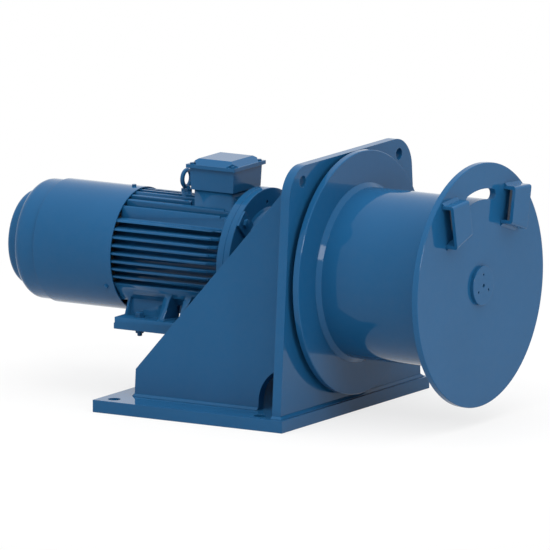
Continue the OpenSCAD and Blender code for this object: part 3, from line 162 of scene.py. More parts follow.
def new_group(name, inputs, outputs):
    """An empty shader group with named sockets, each given as (name, kind, value)."""
    group = bpy.data.node_groups.new(name, "ShaderNodeTree")
    for label, kind, value in inputs:
        socket = group.interface.new_socket(name=label, in_out="INPUT", socket_type=kind)
        if value is not None:
            socket.default_value = value
    for label, kind in outputs:
        group.interface.new_socket(name=label, in_out="OUTPUT", socket_type=kind)
    nodes = Tree(group)
    start = nodes.add("NodeGroupInput")
    end = nodes.add("NodeGroupOutput")
    return group, nodes, start, end


def enamel_group():
    """Sprayed enamel: slow drift of tone, fine orange peel, settled dust and a rounded edge."""
    group, n, start, end = new_group(
        "Sprayed Enamel",
        [("Paint", "NodeSocketColor", linear((0.2, 0.4, 0.6))),
         ("Dust", "NodeSocketColor", linear((0.55, 0.62, 0.68))),
         ("Dust Amount", "NodeSocketFloat", 0.02),
         ("Roughness", "NodeSocketFloat", 0.06),
         ("Peel", "NodeSocketFloat", 0.1),
         ("Grain", "NodeSocketFloat", 0.0),
         ("Grain Scale", "NodeSocketFloat", 400.0),
         ("Edge Radius", "NodeSocketFloat", 0.001)],
        [("Color", "NodeSocketColor"), ("Roughness", "NodeSocketFloat"),
         ("Normal", "NodeSocketVector")])
    place = n.add("ShaderNodeTexCoord").outputs["Object"]
    drift = n.noise(place, 7.0, 2.0)
    mottle = n.noise(place, 60.0, 3.0, 0.6)
    geometry = n.add("ShaderNodeNewGeometry")
    up = n.add("ShaderNodeSeparateXYZ", _0=geometry.outputs["Normal"]).outputs[2]
    level = n.ramp(up, 0.5, 0.98)
    settled = n.math("MULTIPLY", level, n.ramp(mottle, 0.35, 0.75))
    dusty = n.math("MULTIPLY", settled, start.outputs["Dust Amount"])
    toned = n.add("ShaderNodeHueSaturation", _4=start.outputs["Paint"])
    n.put(toned, "Value", n.ramp(drift, 0.3, 0.7, 0.975, 1.025))
    n.put(toned, "Saturation", n.ramp(mottle, 0.3, 0.7, 0.99, 1.01))
    colour = n.mix(dusty, toned.outputs[0], start.outputs["Dust"])
    n.put(end, "Color", colour)
    worn = n.math("ADD", start.outputs["Roughness"], n.ramp(mottle, 0.3, 0.8, -0.01, 0.02))
    n.put(end, "Roughness", n.math("ADD", worn, n.math("MULTIPLY", dusty, 0.5)))
    peel = n.math("MULTIPLY", n.noise(place, 260.0, 1.0), start.outputs["Peel"])
    rough_cast = n.add("ShaderNodeTexNoise", _0=place)
    n.put(rough_cast, "Scale", start.outputs["Grain Scale"])
    n.put(rough_cast, "Detail", 5.0)
    n.put(rough_cast, "Roughness", 0.62)
    cast = n.math("MULTIPLY", rough_cast.outputs["Fac"], start.outputs["Grain"])
    edge = n.add("ShaderNodeBevel", samples=6)
    n.put(edge, "Radius", start.outputs["Edge Radius"])
    bump = n.add("ShaderNodeBump")
    n.put(bump, "Height", n.math("ADD", peel, cast))
    bump.inputs["Distance"].default_value = 0.0001
    bump.inputs["Strength"].default_value = 1.0
    n.put(bump, "Normal", edge.outputs[0])
    n.put(end, "Normal", bump.outputs[0])
    return group


def metal_group():
    """Machined metal: fine turning rings round the drum axis, faint stain and a rounded edge."""
    group, n, start, end = new_group(
        "Machined Metal",
        [("Metal", "NodeSocketColor", linear((0.7, 0.7, 0.7))),
         ("Stain", "NodeSocketColor", linear((0.4, 0.38, 0.36))),
         ("Stain Amount", "NodeSocketFloat", 0.2),
         ("Roughness", "NodeSocketFloat", 0.3),
         ("Ring Scale", "NodeSocketFloat", 1200.0),
         ("Ring Depth", "NodeSocketFloat", 0.3),
         ("Edge Radius", "NodeSocketFloat", 0.0006)],
        [("Color", "NodeSocketColor"), ("Roughness", "NodeSocketFloat"),
         ("Normal", "NodeSocketVector")])
    place = n.add("ShaderNodeTexCoord").outputs["Object"]
    parts = n.add("ShaderNodeSeparateXYZ", _0=place)
    z = n.math("SUBTRACT", parts.outputs[2], AXIS_Z)
    y2 = n.math("MULTIPLY", parts.outputs[1], parts.outputs[1])
    z2 = n.math("MULTIPLY", z, z)
    radius = n.math("SQRT", n.math("ADD", y2, z2))
    along = n.add("ShaderNodeCombineXYZ", _0=parts.outputs[0], _1=radius)
    lay = n.add("ShaderNodeTexNoise", _0=along.outputs[0])
    n.put(lay, "Scale", start.outputs["Ring Scale"])
    lay.inputs["Detail"].default_value = 2.0
    stain = n.ramp(n.noise(place, 45.0, 4.0, 0.6), 0.45, 0.75)
    stained = n.math("MULTIPLY", stain, start.outputs["Stain Amount"])
    n.put(end, "Color", n.mix(stained, start.outputs["Metal"], start.outputs["Stain"]))
    fine = n.ramp(lay.outputs["Fac"], 0.3, 0.7, -0.08, 0.1)
    rough = n.math("ADD", start.outputs["Roughness"], fine)
    n.put(end, "Roughness", n.math("ADD", rough, n.math("MULTIPLY", stained, 0.3), clamp=True))
    edge = n.add("ShaderNodeBevel", samples=4)
    n.put(edge, "Radius", start.outputs["Edge Radius"])
    bump = n.add("ShaderNodeBump")
    n.put(bump, "Height", n.math("MULTIPLY", lay.outputs["Fac"], start.outputs["Ring Depth"]))
    bump.inputs["Distance"].default_value = 0.0002
    n.put(bump, "Normal", edge.outputs[0])
    n.put(end, "Normal", bump.outputs[0])
    return group


def shared_group(name):
    """The shared group of that name, built the first time it is asked for."""
    makers = {"Sprayed Enamel": enamel_group, "Machined Metal": metal_group}
    return bpy.data.node_groups.get(name) or makers[name]()


def blank_material(name):
    """A new node material with one Principled shader, and its tree."""
    material = bpy.data.materials.new(name)
    material.use_nodes = True
    material.node_tree.nodes.clear()
    n = Tree(material.node_tree)
    shader = n.add("ShaderNodeBsdfPrincipled")
    out = n.add("ShaderNodeOutputMaterial", _0=shader.outputs[0])
    out.location = (900, 0)
    return material, n, shader


def enamel(name, colour, rough=0.06, peel=0.1, grain=0.0, grain_scale=400.0, radius=0.001):
    """Painted surface: the enamel group as one glossy coat."""
    material, n, shader = blank_material(name)
    group = n.add("ShaderNodeGroup")
    group.node_tree = shared_group("Sprayed Enamel")
    for key, value in (("Paint", colour), ("Roughness", rough), ("Peel", peel),
                       ("Grain", grain), ("Grain Scale", grain_scale), ("Edge Radius", radius)):
        group.inputs[key].default_value = value
    n.put(shader, "Base_Color", group.outputs["Color"])
    n.put(shader, "Roughness", group.outputs["Roughness"])
    n.put(shader, "Normal", group.outputs["Normal"])
    shader.inputs["IOR"].default_value = 1.25
    return material


def machined(name, colour, rough=0.3, rings=1200.0, depth=0.3, stain=0.2):
    """Bare machined metal from the shared group."""
    material, n, shader = blank_material(name)
    group = n.add("ShaderNodeGroup")
    group.node_tree = shared_group("Machined Metal")
    for key, value in (("Metal", linear(colour)), ("Roughness", rough), ("Ring Scale", rings),
                       ("Ring Depth", depth), ("Stain Amount", stain)):
        group.inputs[key].default_value = value
    n.put(shader, "Base_Color", group.outputs["Color"])
    n.put(shader, "Roughness", group.outputs["Roughness"])
    n.put(shader, "Normal", group.outputs["Normal"])
    shader.inputs["Metallic"].default_value = 1.0
    return material


def wound_copper(name):
    """Enamelled copper wire: close strands round the axis under a warm varnish."""
    material, n, shader = blank_material(name)
    place = n.add("ShaderNodeTexCoord").outputs["Object"]
    strand = n.add("ShaderNodeTexWave", wave_type="BANDS", bands_direction="X", _0=place)
    strand.inputs["Scale"].default_value = 160.0
    strand.inputs["Distortion"].default_value = 2.5
    strand.inputs["Detail"].default_value = 2.0
    tone = n.noise(place, 120.0, 3.0)
    colour = n.mix(n.ramp(tone, 0.3, 0.7), linear((0.45, 0.22, 0.1)), linear((0.72, 0.38, 0.17)))
    n.put(shader, "Base_Color", colour)
    shader.inputs["Metallic"].default_value = 0.7
    n.put(shader, "Roughness", n.ramp(strand.outputs["Fac"], 0.0, 1.0, 0.3, 0.5))
    bump = n.add("ShaderNodeBump")
    n.put(bump, "Height", strand.outputs["Fac"])
    bump.inputs["Distance"].default_value = 0.0006
    n.put(shader, "Normal", bump.outputs[0])
    return material


def laminated(name):
    """Stacked core sheets: thin dark lines across the axis."""
    material, n, shader = blank_material(name)
    place = n.add("ShaderNodeTexCoord").outputs["Object"]
    sheets = n.add("ShaderNodeTexWave", wave_type="BANDS", bands_direction="X", _0=place)
    sheets.inputs["Scale"].default_value = 320.0
    mark = n.noise(place, 90.0, 3.0)
    n.put(shader, "Base_Color", n.mix(sheets.outputs["Fac"], linear((0.22, 0.23, 0.25)),
                                      linear((0.5, 0.51, 0.53))))
    shader.inputs["Metallic"].default_value = 0.9
    n.put(shader, "Roughness", n.ramp(mark, 0.3, 0.7, 0.35, 0.55))
    bump = n.add("ShaderNodeBump")
    n.put(bump, "Height", sheets.outputs["Fac"])
    bump.inputs["Distance"].default_value = 0.0003
    n.put(shader, "Normal", bump.outputs[0])
    return material


def plain_grained(name, light, dark, rough, grain_scale, depth):
    """Moulded or soft surface: two close tones, a fine grain and a rounded edge."""
    material, n, shader = blank_material(name)
    place = n.add("ShaderNodeTexCoord").outputs["Object"]
    tone = n.noise(place, 35.0, 3.0)
    fine = n.noise(place, grain_scale, 3.0, 0.6)
    n.put(shader, "Base_Color", n.mix(n.ramp(tone, 0.3, 0.7), linear(dark), linear(light)))
    spread = 0.08
    n.put(shader, "Roughness", n.ramp(fine, 0.3, 0.7, rough - spread, rough + spread))
    edge = n.add("ShaderNodeBevel", samples=4)
    edge.inputs["Radius"].default_value = 0.0006
    bump = n.add("ShaderNodeBump")
    n.put(bump, "Height", fine)
    bump.inputs["Distance"].default_value = depth
    n.put(bump, "Normal", edge.outputs[0])
    n.put(shader, "Normal", bump.outputs[0])
    return material


def dress(names, material):
    """Gives a finish to CAD nodes."""
    for name in names:
        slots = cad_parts[name].data.materials
        slots.clear()
        slots.append(material)


# User settings

class PaintSettings(bpy.types.PropertyGroup):
    """Colour and gloss of the enamel."""
    colour: FloatVectorProperty(
        name="Enamel", description="Colour of the enamel", subtype="COLOR", size=3,
        min=0.0, max=1.0, default=(0.01, 0.075, 0.18))
    roughness: FloatProperty(
        name="Roughness", description="Roughness of the enamel", subtype="FACTOR",
        min=0.0, max=1.0, default=0.06)
    edge: FloatProperty(
        name="Edge radius", description="Rounding that the paint gives to sharp edges",
        unit="LENGTH", min=0.0, max=0.004, default=0.0012)


class RibSettings(bpy.types.PropertyGroup):
    """Sizes of the motor's cast ribs."""
    core: FloatProperty(
        name="Core radius", description="Radius of the motor body under the ribs", unit="LENGTH",
        default=0.098)
    reach: FloatProperty(
        name="Rib radius", description="Radius that the ribs' tips reach", unit="LENGTH",
        default=0.12215)
    thickness: FloatProperty(
        name="Rib thickness", description="Thickness of one rib", unit="LENGTH", default=0.0046)
    pitch: FloatProperty(
        name="Rib pitch", description="Distance from rib to rib", unit="LENGTH", default=0.016)
    drop: FloatProperty(
        name="End step", description="How much lower the ribs are at their drive end",
        unit="LENGTH", default=0.0035)


class ScrewSettings(bpy.types.PropertyGroup):
    """Form of the hexagon heads and nuts."""
    chamfer: FloatProperty(
        name="Chamfer", description="Radius of the flat on a head, as a share of half its width",
        subtype="FACTOR", min=0.7, max=1.0, default=0.95)
    slope: FloatProperty(
        name="Chamfer slope", description="Fall of the chamfer for each unit of radius",
        min=0.2, max=1.0, default=0.58)


class StageSettings(bpy.types.PropertyGroup):
    """Camera and light."""
    azimuth: FloatProperty(
        name="Azimuth", description="Camera's turn round the winch from its near side",
        unit="ROTATION", default=0.546288)
    elevation: FloatProperty(
        name="Elevation", description="Camera's height angle", unit="ROTATION", default=0.181514)
    lens: FloatProperty(
        name="Lens", description="Focal length of the camera in millimetres", min=50.0,
        max=1600.0, default=1300.0)
    scale: FloatProperty(
        name="Scale", description="Length that one picture point covers at the winch",
        unit="LENGTH", default=0.002)


class WINCH_OT_paint(bpy.types.Operator):
    """Gives the painted pieces their enamel"""
    bl_idname = "winch.paint"
    bl_label = "Enamel"

    def execute(self, context):
        paint = context.scene.winch_paint
        colour = list(paint.colour) + [1.0]
        rough = paint.roughness
        edge = paint.edge
        dress(ENAMEL_PLATE, enamel("enamel_plate", colour, rough, 0.12, radius=edge))
        dress(ENAMEL_WELD, enamel("enamel_weld", colour, rough + 0.04, 0.15, 0.6, 160.0, 0.002))
        dress(ENAMEL_CASTING,
              enamel("enamel_casting", colour, rough + 0.01, 0.15, 0.4, 420.0, edge * 0.7))
        dress(ENAMEL_TURNED, enamel("enamel_turned", colour, rough, 0.1, radius=0.0004))
        dress(ENAMEL_SHEET, enamel("enamel_sheet", colour, rough, 0.1, radius=0.001))
        dress(ENAMEL_SMALL, enamel("enamel_small", colour, rough + 0.05, 0.1, radius=0.0006))
        return {"FINISHED"}


class WINCH_OT_inner(bpy.types.Operator):
    """Gives the pieces inside the motor, brake and drum their bare finishes"""
    bl_idname = "winch.inner"
    bl_label = "Inner pieces"

    def execute(self, context):
        dress(TURNED_STEEL, machined("turned_steel", (0.74, 0.75, 0.77), 0.26))
        dress(GEAR_STEEL, machined("gear_steel", (0.5, 0.5, 0.52), 0.36, 500.0, 0.15, 0.35))
        dress(ROTOR_ALLOY, machined("rotor_alloy", (0.78, 0.79, 0.8), 0.34, 260.0, 0.5))
        dress(LAMINATED, laminated("laminated_core"))
        dress(WOUND_COPPER, wound_copper("wound_copper"))
        for names, name, light, dark, rough, grain_scale, depth in (
                (BARE_CASTING, "bare_casting", (0.3, 0.31, 0.32), (0.2, 0.2, 0.21),
                 0.6, 700.0, 0.0006),
                (MOULDED_FAN, "moulded_fan", (0.13, 0.13, 0.14), (0.08, 0.08, 0.085),
                 0.45, 900.0, 0.0002),
                (SOFT_RUBBER, "soft_rubber", (0.1, 0.1, 0.105), (0.05, 0.05, 0.055),
                 0.7, 1200.0, 0.0003),
                (MOULDED_BOARD, "moulded_board", (0.8, 0.75, 0.6), (0.7, 0.64, 0.48),
                 0.4, 700.0, 0.0002),
                (FRICTION, "friction_lining", (0.34, 0.3, 0.26), (0.18, 0.16, 0.15),
                 0.8, 1500.0, 0.0005)):
            dress(names, plain_grained(name, light, dark, rough, grain_scale, depth))
        return {"FINISHED"}


class WINCH_OT_ribs(bpy.types.Operator):
    """Makes the motor body with its full set of upright top ribs"""
    bl_idname = "winch.ribs"
    bl_label = "Motor ribs"

    def execute(self, context):
        build_motor_body(context.scene.winch_ribs)
        return {"FINISHED"}


class WINCH_OT_screws(bpy.types.Operator):
    """Makes the hexagon screws, nuts and washers with chamfered edges"""
    bl_idname = "winch.screws"
    bl_label = "Hexagon screws"

    def execute(self, context):
        form = context.scene.winch_screws
        build_flange_screws(form)
        build_adapter_screws(form)
        build_foot_bolts(form)
        return {"FINISHED"}


class WINCH_OT_stage(bpy.types.Operator):
    """Sets up the floor, the white surroundings, the lamps and the camera"""
    bl_idname = "winch.stage"
    bl_label = "Stage"

    def execute(self, context):
        stage = context.scene.winch_stage
        build_floor()
        build_world(context.scene)
        build_lamps(context.scene)
        build_camera(context.scene, stage)
        context.scene.view_settings.view_transform = "Standard"
        return {"FINISHED"}


class WINCH_PT_panel(bpy.types.Panel):
    """Lists the winch's operators and settings"""
    bl_label = "Wire Rope Winch"
    bl_idname = "WINCH_PT_panel"
    bl_space_type = "VIEW_3D"
    bl_region_type = "UI"
    bl_category = "Winch"

    def draw(self, context):
        scene = context.scene
        groups = (scene.winch_paint, scene.winch_ribs, scene.winch_screws, scene.winch_stage)
        for settings in groups:
            for name in settings.__annotations__:
                self.layout.prop(settings, name)
        for operator in OPERATORS:
            self.layout.operator(operator.bl_idname)


# Surfaces

def add_object(name, mesh):
    """A new object for a mesh, linked into the scene."""
    piece = bpy.data.objects.new(name, mesh)
    bpy.context.scene.collection.objects.link(piece)
    return piece


def prism(profile, x0, x1):
    """Closed prism: a profile in Y and height above the drum axis, carried along X from x0 to x1.

    The profile is turned anticlockwise as seen from +X, so its faces point outwards."""
    p = np.asarray(profile, dtype=float)
    after = np.roll(p, -1, axis=0)
    if np.sum(p[:, 0] * after[:, 1] - after[:, 0] * p[:, 1]) < 0.0:
        p = p[::-1]
    n = len(p)
    ends = [np.column_stack([np.full(n, x), p[:, 0], p[:, 1] + AXIS_Z]) for x in (x0, x1)]
    i = np.arange(n)
    j = np.roll(i, -1)
    faces = np.column_stack([i, j, j + n, i + n]).tolist()
    faces.append(i[::-1].tolist())
    faces.append((i + n).tolist())
    return np.vstack(ends), faces


def loft(rings):
    """Closed skin over a stack of rings, given as rings x points x 3, capped at both ends."""
    rings = np.asarray(rings, dtype=float)
    m, n = rings.shape[:2]
    i = np.arange(n)
    j = np.roll(i, -1)
    low = (np.arange(m - 1) * n)[:, None]
    quads = np.stack([low + i, low + j, low + n + j, low + n + i], axis=2).reshape(-1, 4).tolist()
    quads.append(i[::-1].tolist())
    quads.append((i + (m - 1) * n).tolist())
    return rings.reshape(-1, 3), quads


def merged(name, parts):
    """One mesh from several closed parts, each given as points and faces."""
    points = np.vstack([part[0] for part in parts])
    faces = []
    start = 0
    for own_points, own_faces in parts:
        faces.extend([[start + k for k in face] for face in own_faces])
        start += len(own_points)
    mesh = bpy.data.meshes.new(name)
    mesh.from_pydata(points.tolist(), [], faces)
    mesh.update()
    return mesh


def arc_over(radius, y0, y1, count=24):
    """Points on the circle of a radius round the axis, above it, from y0 to y1."""
    y = np.linspace(y0, y1, count)
    return np.column_stack([y, np.sqrt(radius * radius - y * y)])


def above_arc(radius, y0, y1, top):
    """Profile between the circle of a radius and a level top, from y0 to y1."""
    return np.vstack([arc_over(radius, y0, y1), [[y1, top], [y0, top]]])


def ring_sector(inner, outer, low, high, side, count=32):
    """Profile of a ring's sector between two angles above the side's horizontal."""
    a = np.linspace(low, high, count)
    way = np.column_stack([side * np.cos(a), np.sin(a)])
    return np.vstack([inner * way, outer * way[::-1]])


def smooth_by_angle(mesh, limit=0.6):
    """Smooth faces with sharp edges where they meet at more than the limit."""
    mesh.shade_smooth()
    mesh.set_sharp_from_angle(angle=limit)


# Motor body

def cut_away(piece, parts):
    """Takes closed parts off a piece and keeps the result as its mesh."""
    cutter = add_object("cutter", merged("cutter", parts))
    cut = piece.modifiers.new("cut", "BOOLEAN")
    cut.operation = "DIFFERENCE"
    cut.solver = "EXACT"
    cut.object = cutter
    graph = bpy.context.evaluated_depsgraph_get()
    result = bpy.data.meshes.new_from_object(piece.evaluated_get(graph))
    piece.modifiers.clear()
    old = piece.data
    piece.data = result
    bpy.data.meshes.remove(old)
    gone = cutter.data
    bpy.data.objects.remove(cutter)
    bpy.data.meshes.remove(gone)


def merged_copy(node, name):
    """A piece with a copy of a node's mesh, its loose triangles merged."""
    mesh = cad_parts[node].data.copy()
    mesh.name = name
    work = bmesh.new()
    work.from_mesh(mesh)
    bmesh.ops.remove_doubles(work, verts=work.verts, dist=1e-6)
    work.to_mesh(mesh)
    work.free()
    return add_object(name, mesh)


def join_in(piece, extra):
    """Adds another mesh's faces to a piece and removes that mesh."""
    work = bmesh.new()
    work.from_mesh(piece.data)
    work.from_mesh(extra)
    work.to_mesh(piece.data)
    work.free()
    bpy.data.meshes.remove(extra)


def rib_cutters(ribs, rear, at, half, core, shave):
    """Two sets of closed cutters: the grooves beside the outer ribs, and the steps at their ends.

    A groove's profile lies between the core's circle and a level line. A step's lies between two
    circles, from an angle below the lowest rib up to one beside the neck or above the side ribs."""
    grooves = []
    steps = []
    lowest = -0.35
    side_ribs_end = 0.75
    beside_neck = 1.135
    inner_ribs = 0.047
    behind = rear - 0.01
    front = FRONT_RING_X + 2 * shave
    top = FAR + 0.01
    neck_side = 0.05004
    for side in (-1, 1):
        level = at[4] + half
        floor = level - shave
        grooves.append(prism([[side * level, floor], [side * FAR, floor], [side * FAR, FAR],
                              [side * level, FAR]], behind, SHOULDER_END_X))
        inner = side * (at[3] + half - shave)
        grooves.append(prism(above_arc(core, inner, side * (at[4] - half), top), behind, front))
        outer = side * (at[3] - half + shave)
        grooves.append(prism(above_arc(core, side * neck_side, outer, top), behind, front))
        lower = ribs.reach - ribs.drop
        steps.append(prism(ring_sector(lower, FAR, lowest, beside_neck, side), *RIB_STEP_X))
        lower = ribs.reach - 0.6 * ribs.drop
        steps.append(prism(ring_sector(lower, FAR, lowest, side_ribs_end, side), *RIB_NOTCH_X))
    steps.append(prism(above_arc(core, -inner_ribs, inner_ribs, top), INNER_RIBS_END_X,
                       NECK_REAR_X - shave))
    return grooves, steps


def build_motor_body(ribs):
    """The cast frame with upright ribs right round its top in place of the plain shoulders.

    A rib is the strip between the core's circle and the ribs' circle, rib thickness wide at a
    whole number of half pitches from the middle, carried along X."""
    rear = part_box("motor_frame")[0][0]
    ribs_start = rear + 0.004
    shave = 0.00002
    half = ribs.thickness / 2
    at = ribs.pitch * np.array([0.5, 1.5, 2.5, 3.5, 4.5])
    piece = merged_copy("motor_frame", "motor_body")
    for parts in rib_cutters(ribs, rear, at, half, ribs.core + shave, shave):
        cut_away(piece, parts)
    added = []
    for y in (at[0], at[2]):
        root = 0.9 * ribs.core - 0.3 * y
        for side in (-1, 1):
            strip = [side * y - half, side * y + half]
            top = arc_over(ribs.reach, strip[0], strip[1], 7)
            base = [[strip[1], root], [strip[0], root]]
            added.append(prism(np.vstack([top, base]), ribs_start, INNER_RIBS_END_X))
    join_in(piece, merged("extra_ribs", added))
    smooth_by_angle(piece.data)
    piece.data.materials.clear()
    piece.data.materials.append(bpy.data.materials["enamel_casting"])
    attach(piece, "frame")
    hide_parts("motor_frame")
    return piece


# Screws

def place_rings(rings, origin, axis, ref):
    """Rings given as radius, angle and height arrays, set up on an axis from an origin."""
    axis = np.asarray(axis, dtype=float)
    ref = np.asarray(ref, dtype=float)
    third = np.cross(axis, ref)
    out = []
    for radius, angle, height in rings:
        out.append(np.asarray(origin) + height[:, None] * axis
                   + (radius * np.cos(angle))[:, None] * ref
                   + (radius * np.sin(angle))[:, None] * third)
    return loft(out)


def hexagon(form, across, height, origin, axis, ref, both=False):
    """Hexagon head or nut, chamfered at its end, or at both ends.

    Its side stands at half the width over the cosine of the angle to the nearest flat's middle,
    and its top falls by the slope times what the side's radius exceeds the flat disc's."""
    count = 72
    angle = np.arange(count) * (2 * np.pi / count)
    apothem = across / 2
    off = np.mod(angle, np.pi / 3) - np.pi / 6
    side = apothem / np.cos(off)
    disc = np.full(count, form.chamfer * apothem)
    fall = form.slope * (side - disc)
    flat = np.zeros(count)
    foot = 0.0003
    rings = [(disc, angle, flat), (side, angle, fall if both else flat + foot),
             (side, angle, height - fall), (disc, angle, flat + height)]
    return place_rings(rings, origin, axis, ref)


def turned_rod(profile, origin, axis, ref, count=40):
    """Round part: each profile point's radius makes a circle at its height on the axis."""
    angle = np.arange(count) * (2 * np.pi / count)
    same = np.ones(count)
    return place_rings([(r * same, angle, h * same) for r, h in profile], origin, axis, ref)


def finish_screws(name, node, parts):
    """One piece from all screws of a kind, in place of the node."""
    mesh = merged(name, parts)
    smooth_by_angle(mesh)
    mesh.materials.append(bpy.data.materials["enamel_small"])
    piece = add_object(name, mesh)
    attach(piece, "frame")
    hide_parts(node)
    return piece


def round_axis(count, first):
    """Unit directions in the YZ plane, equally spaced from a first angle off the top."""
    a = np.radians(first) + np.arange(count) * (2 * np.pi / count)
    return np.column_stack([np.zeros(count), np.sin(a), np.cos(a)])


def build_flange_screws(form):
    """Four screws through the motor flange, with nuts behind it."""
    low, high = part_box("flange_screws")
    head_seat = 0.0075
    head_across = 0.015
    head = 0.0062
    nut_across = 0.018
    nut = 0.0098
    shank_r = 0.006
    shank_edge = 0.0012
    parts = []
    for way in round_axis(4, 45.0):
        rear = np.array([low[0], 0.0, AXIS_Z]) + BOLT_CIRCLE_R * way
        front = np.array([high[0] - head_seat, 0.0, AXIS_Z]) + BOLT_CIRCLE_R * way
        shank = [(shank_r - shank_edge, -0.002), (shank_r, shank_edge - 0.002),
                 (shank_r, front[0] - rear[0] + 0.001)]
        parts.append(hexagon(form, head_across, head, front, ALONG_X, way))
        parts.append(hexagon(form, nut_across, nut, rear, ALONG_X, way, both=True))
        parts.append(turned_rod(shank, rear, ALONG_X, way))
    return finish_screws("flange_bolts", "flange_screws", parts)


def build_adapter_screws(form):
    """Eight screws that hold the adapter on the mounting plate, heads towards the motor."""
    low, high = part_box("adapter_screws")
    head_across = 0.024
    head = 0.01
    shank_r = 0.008
    shank_edge = 0.001
    parts = []
    for way in round_axis(8, 22.5):
        seat = np.array([low[0] + head, 0.0, AXIS_Z]) + ADAPTER_SCREW_R * way
        length = high[0] - seat[0]
        shank = [(shank_r, -0.001), (shank_r, length - shank_edge),
                 (shank_r - shank_edge, length)]
        parts.append(hexagon(form, head_across, head, seat, (-1, 0, 0), way))
        parts.append(turned_rod(shank, seat, ALONG_X, way))
    return finish_screws("adapter_bolts", "adapter_screws", parts)


def build_foot_bolts(form):
    """Four screws with washers and nuts that hold the motor's feet."""
    low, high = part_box("foot_bolts")
    washer_r = 0.0098
    washer_t = 0.0022
    head_across = 0.0161
    head = 0.0075
    nut_across = 0.0166
    nut = 0.009
    nut_rise = np.array([0.0, 0.0, 0.006])
    edge = 0.0004
    shank_r = 0.005
    washer = [(washer_r - edge, 0.0), (washer_r, edge), (washer_r, washer_t - edge),
              (washer_r - edge, washer_t)]
    parts = []
    for x in (low[0] + washer_r, high[0] - washer_r):
        for y in (low[1] + washer_r, high[1] - washer_r):
            top = np.array([x, y, high[2] - washer_t - head])
            foot = np.array([x, y, low[2]])
            shank = [(shank_r - 2 * edge, 0.0), (shank_r, 2 * edge),
                     (shank_r, top[2] - foot[2] + 0.003)]
            parts.append(turned_rod(washer, top, UPWARDS, ALONG_X))
            seat = top + [0, 0, washer_t]
            parts.append(hexagon(form, head_across, head, seat, UPWARDS, ALONG_X))
            parts.append(turned_rod(shank, foot, UPWARDS, ALONG_X))
            parts.append(hexagon(form, nut_across, nut, foot + nut_rise, UPWARDS, ALONG_X,
                                 both=True))
    return finish_screws("foot_screws", "foot_bolts", parts)


# Stage

def seen_directly(n):
    """1 for camera, glossy and transmission rays, and 0 for those that carry light."""
    path = n.add("ShaderNodeLightPath")
    seen = n.math("MAXIMUM", path.outputs["Is Camera Ray"], path.outputs["Is Glossy Ray"])
    return n.math("MAXIMUM", seen, path.outputs["Is Transmission Ray"])


def build_floor():
    """Pale floor: a large square just under the base plate, plain white from far off it."""
    half = 12.0
    level = -0.0002
    near = 0.6
    far = 1.6
    white_near = 0.75
    mesh = bpy.data.meshes.new("floor")
    corners = [(x * half, y * half, level) for x, y in ((-1, -1), (1, -1), (1, 1), (-1, 1))]
    mesh.from_pydata(corners, [], [(0, 1, 2, 3)])
    mesh.update()
    floor = add_object("floor", mesh)
    material, n, shader = blank_material("pale_floor")
    place = n.add("ShaderNodeTexCoord").outputs["Object"]
    tone = n.ramp(n.noise(place, 3.0, 2.0), 0.3, 0.7, 0.0, 1.0)
    n.put(shader, "Base_Color", n.mix(tone, linear((0.8, 0.8, 0.8)), linear((0.82, 0.82, 0.82))))
    shader.inputs["Roughness"].default_value = 0.9
    white = n.add("ShaderNodeEmission")
    white.inputs["Strength"].default_value = 1.0
    reach = n.add("ShaderNodeVectorMath", operation="LENGTH", _0=place).outputs["Value"]
    seen = seen_directly(n)
    share = n.math("MULTIPLY", seen, n.ramp(reach, near, far, white_near, 1.0))
    look = n.add("ShaderNodeMixShader", _0=share, _1=shader.outputs[0], _2=white.outputs[0])
    out = [node for node in material.node_tree.nodes if node.type == "OUTPUT_MATERIAL"][0]
    n.put(out, "_0", look.outputs[0])
    mesh.materials.append(material)


def build_world(scene):
    """White surroundings: plain white where seen, and a light that grows towards the zenith."""
    light_low = 0.32
    light_top = 3.0
    world = bpy.data.worlds.new("white_surroundings")
    world.use_nodes = True
    world.node_tree.nodes.clear()
    n = Tree(world.node_tree)
    seen = seen_directly(n)
    place = n.add("ShaderNodeTexCoord").outputs["Generated"]
    height = n.add("ShaderNodeSeparateXYZ", _0=place).outputs[2]
    light = n.add("ShaderNodeBackground")
    light.inputs["Color"].default_value = (1.0, 1.0, 1.0, 1.0)
    rise = n.math("POWER", n.ramp(height, 0.0, 1.0), 2.0)
    n.put(light, "Strength", n.ramp(rise, 0.0, 1.0, light_low, light_top))
    white = n.add("ShaderNodeBackground")
    white.inputs["Color"].default_value = (1.0, 1.0, 1.0, 1.0)
    white.inputs["Strength"].default_value = 1.0
    mix = n.add("ShaderNodeMixShader", _0=seen, _1=light.outputs[0], _2=white.outputs[0])
    n.add("ShaderNodeOutputWorld", _0=mix.outputs[0])
    scene.world = world


def aim(obj, place, target):
    """Turns an object so that its own -Z points from its place to a target."""
    way = Vector(target) - Vector(place)
    turn = way.to_track_quat("-Z", "Y").to_matrix().to_4x4()
    obj.matrix_world = Matrix.Translation(place) @ turn


def build_lamps(scene):
    """Soft key from high on the near side, and a fill from beyond the drum's end."""
    middle = (0.0, 0.0, 0.25)
    for name, place, size, power in (
            ("key", (0.6, -3.4, 4.4), 1.4, 50.0),
            ("fill", (4.2, -1.6, 1.6), 1.4, 60.0)):
        lamp = bpy.data.lights.new(name, "AREA")
        lamp.shape = "DISK"
        lamp.size = size
        lamp.energy = power
        obj = bpy.data.objects.new(name, lamp)
        scene.collection.objects.link(obj)
        aim(obj, place, middle)


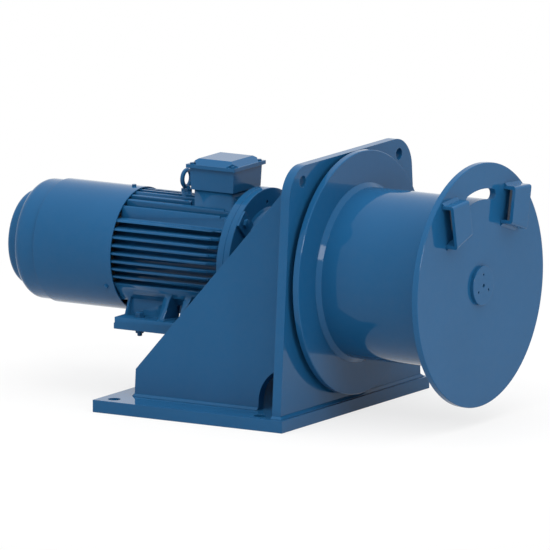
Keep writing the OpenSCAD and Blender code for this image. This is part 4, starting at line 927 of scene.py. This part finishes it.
def build_camera(scene, stage):
    """Camera at the photo's viewing angle, nearly without perspective."""
    picture_points = 550.0
    points_left = 76.0
    points_down = 3.9
    sensor = 36.0
    a = stage.azimuth
    e = stage.elevation
    right = Vector((np.cos(a), np.sin(a), 0.0))
    look = Vector((-np.sin(a) * np.cos(e), np.cos(a) * np.cos(e), -np.sin(e)))
    up = right.cross(look)
    target = Vector((0.2265, 0.0, AXIS_Z))
    target = target - points_left * stage.scale * right - points_down * stage.scale * up
    distance = stage.lens / sensor * picture_points * stage.scale
    data = bpy.data.cameras.new("camera")
    data.lens = stage.lens
    data.sensor_width = sensor
    data.clip_start = 0.5
    data.clip_end = 200.0
    camera = bpy.data.objects.new("camera", data)
    scene.collection.objects.link(camera)
    turn = Matrix((right, up, -look)).transposed().to_4x4()
    camera.matrix_world = Matrix.Translation(target - look * distance) @ turn
    scene.camera = camera


SETTINGS = (PaintSettings, RibSettings, ScrewSettings, StageSettings)
OPERATORS = (WINCH_OT_paint, WINCH_OT_inner, WINCH_OT_ribs, WINCH_OT_screws, WINCH_OT_stage)
CLASSES = SETTINGS + OPERATORS + (WINCH_PT_panel,)


def register():
    """Registers the classes and hangs the settings on the scene."""
    for cls in CLASSES:
        bpy.utils.register_class(cls)
    bpy.types.Scene.winch_paint = PointerProperty(type=PaintSettings)
    bpy.types.Scene.winch_ribs = PointerProperty(type=RibSettings)
    bpy.types.Scene.winch_screws = PointerProperty(type=ScrewSettings)
    bpy.types.Scene.winch_stage = PointerProperty(type=StageSettings)


def unregister():
    """Takes the settings and classes away again."""
    del bpy.types.Scene.winch_stage
    del bpy.types.Scene.winch_screws
    del bpy.types.Scene.winch_ribs
    del bpy.types.Scene.winch_paint
    for cls in reversed(CLASSES):
        bpy.utils.unregister_class(cls)


def main():
    """Builds everything in order."""
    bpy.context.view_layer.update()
    register()
    bpy.ops.winch.paint()
    bpy.ops.winch.inner()
    bpy.ops.winch.ribs()
    bpy.ops.winch.screws()
    bpy.ops.winch.stage()


if __name__ == "__main__":
    main()
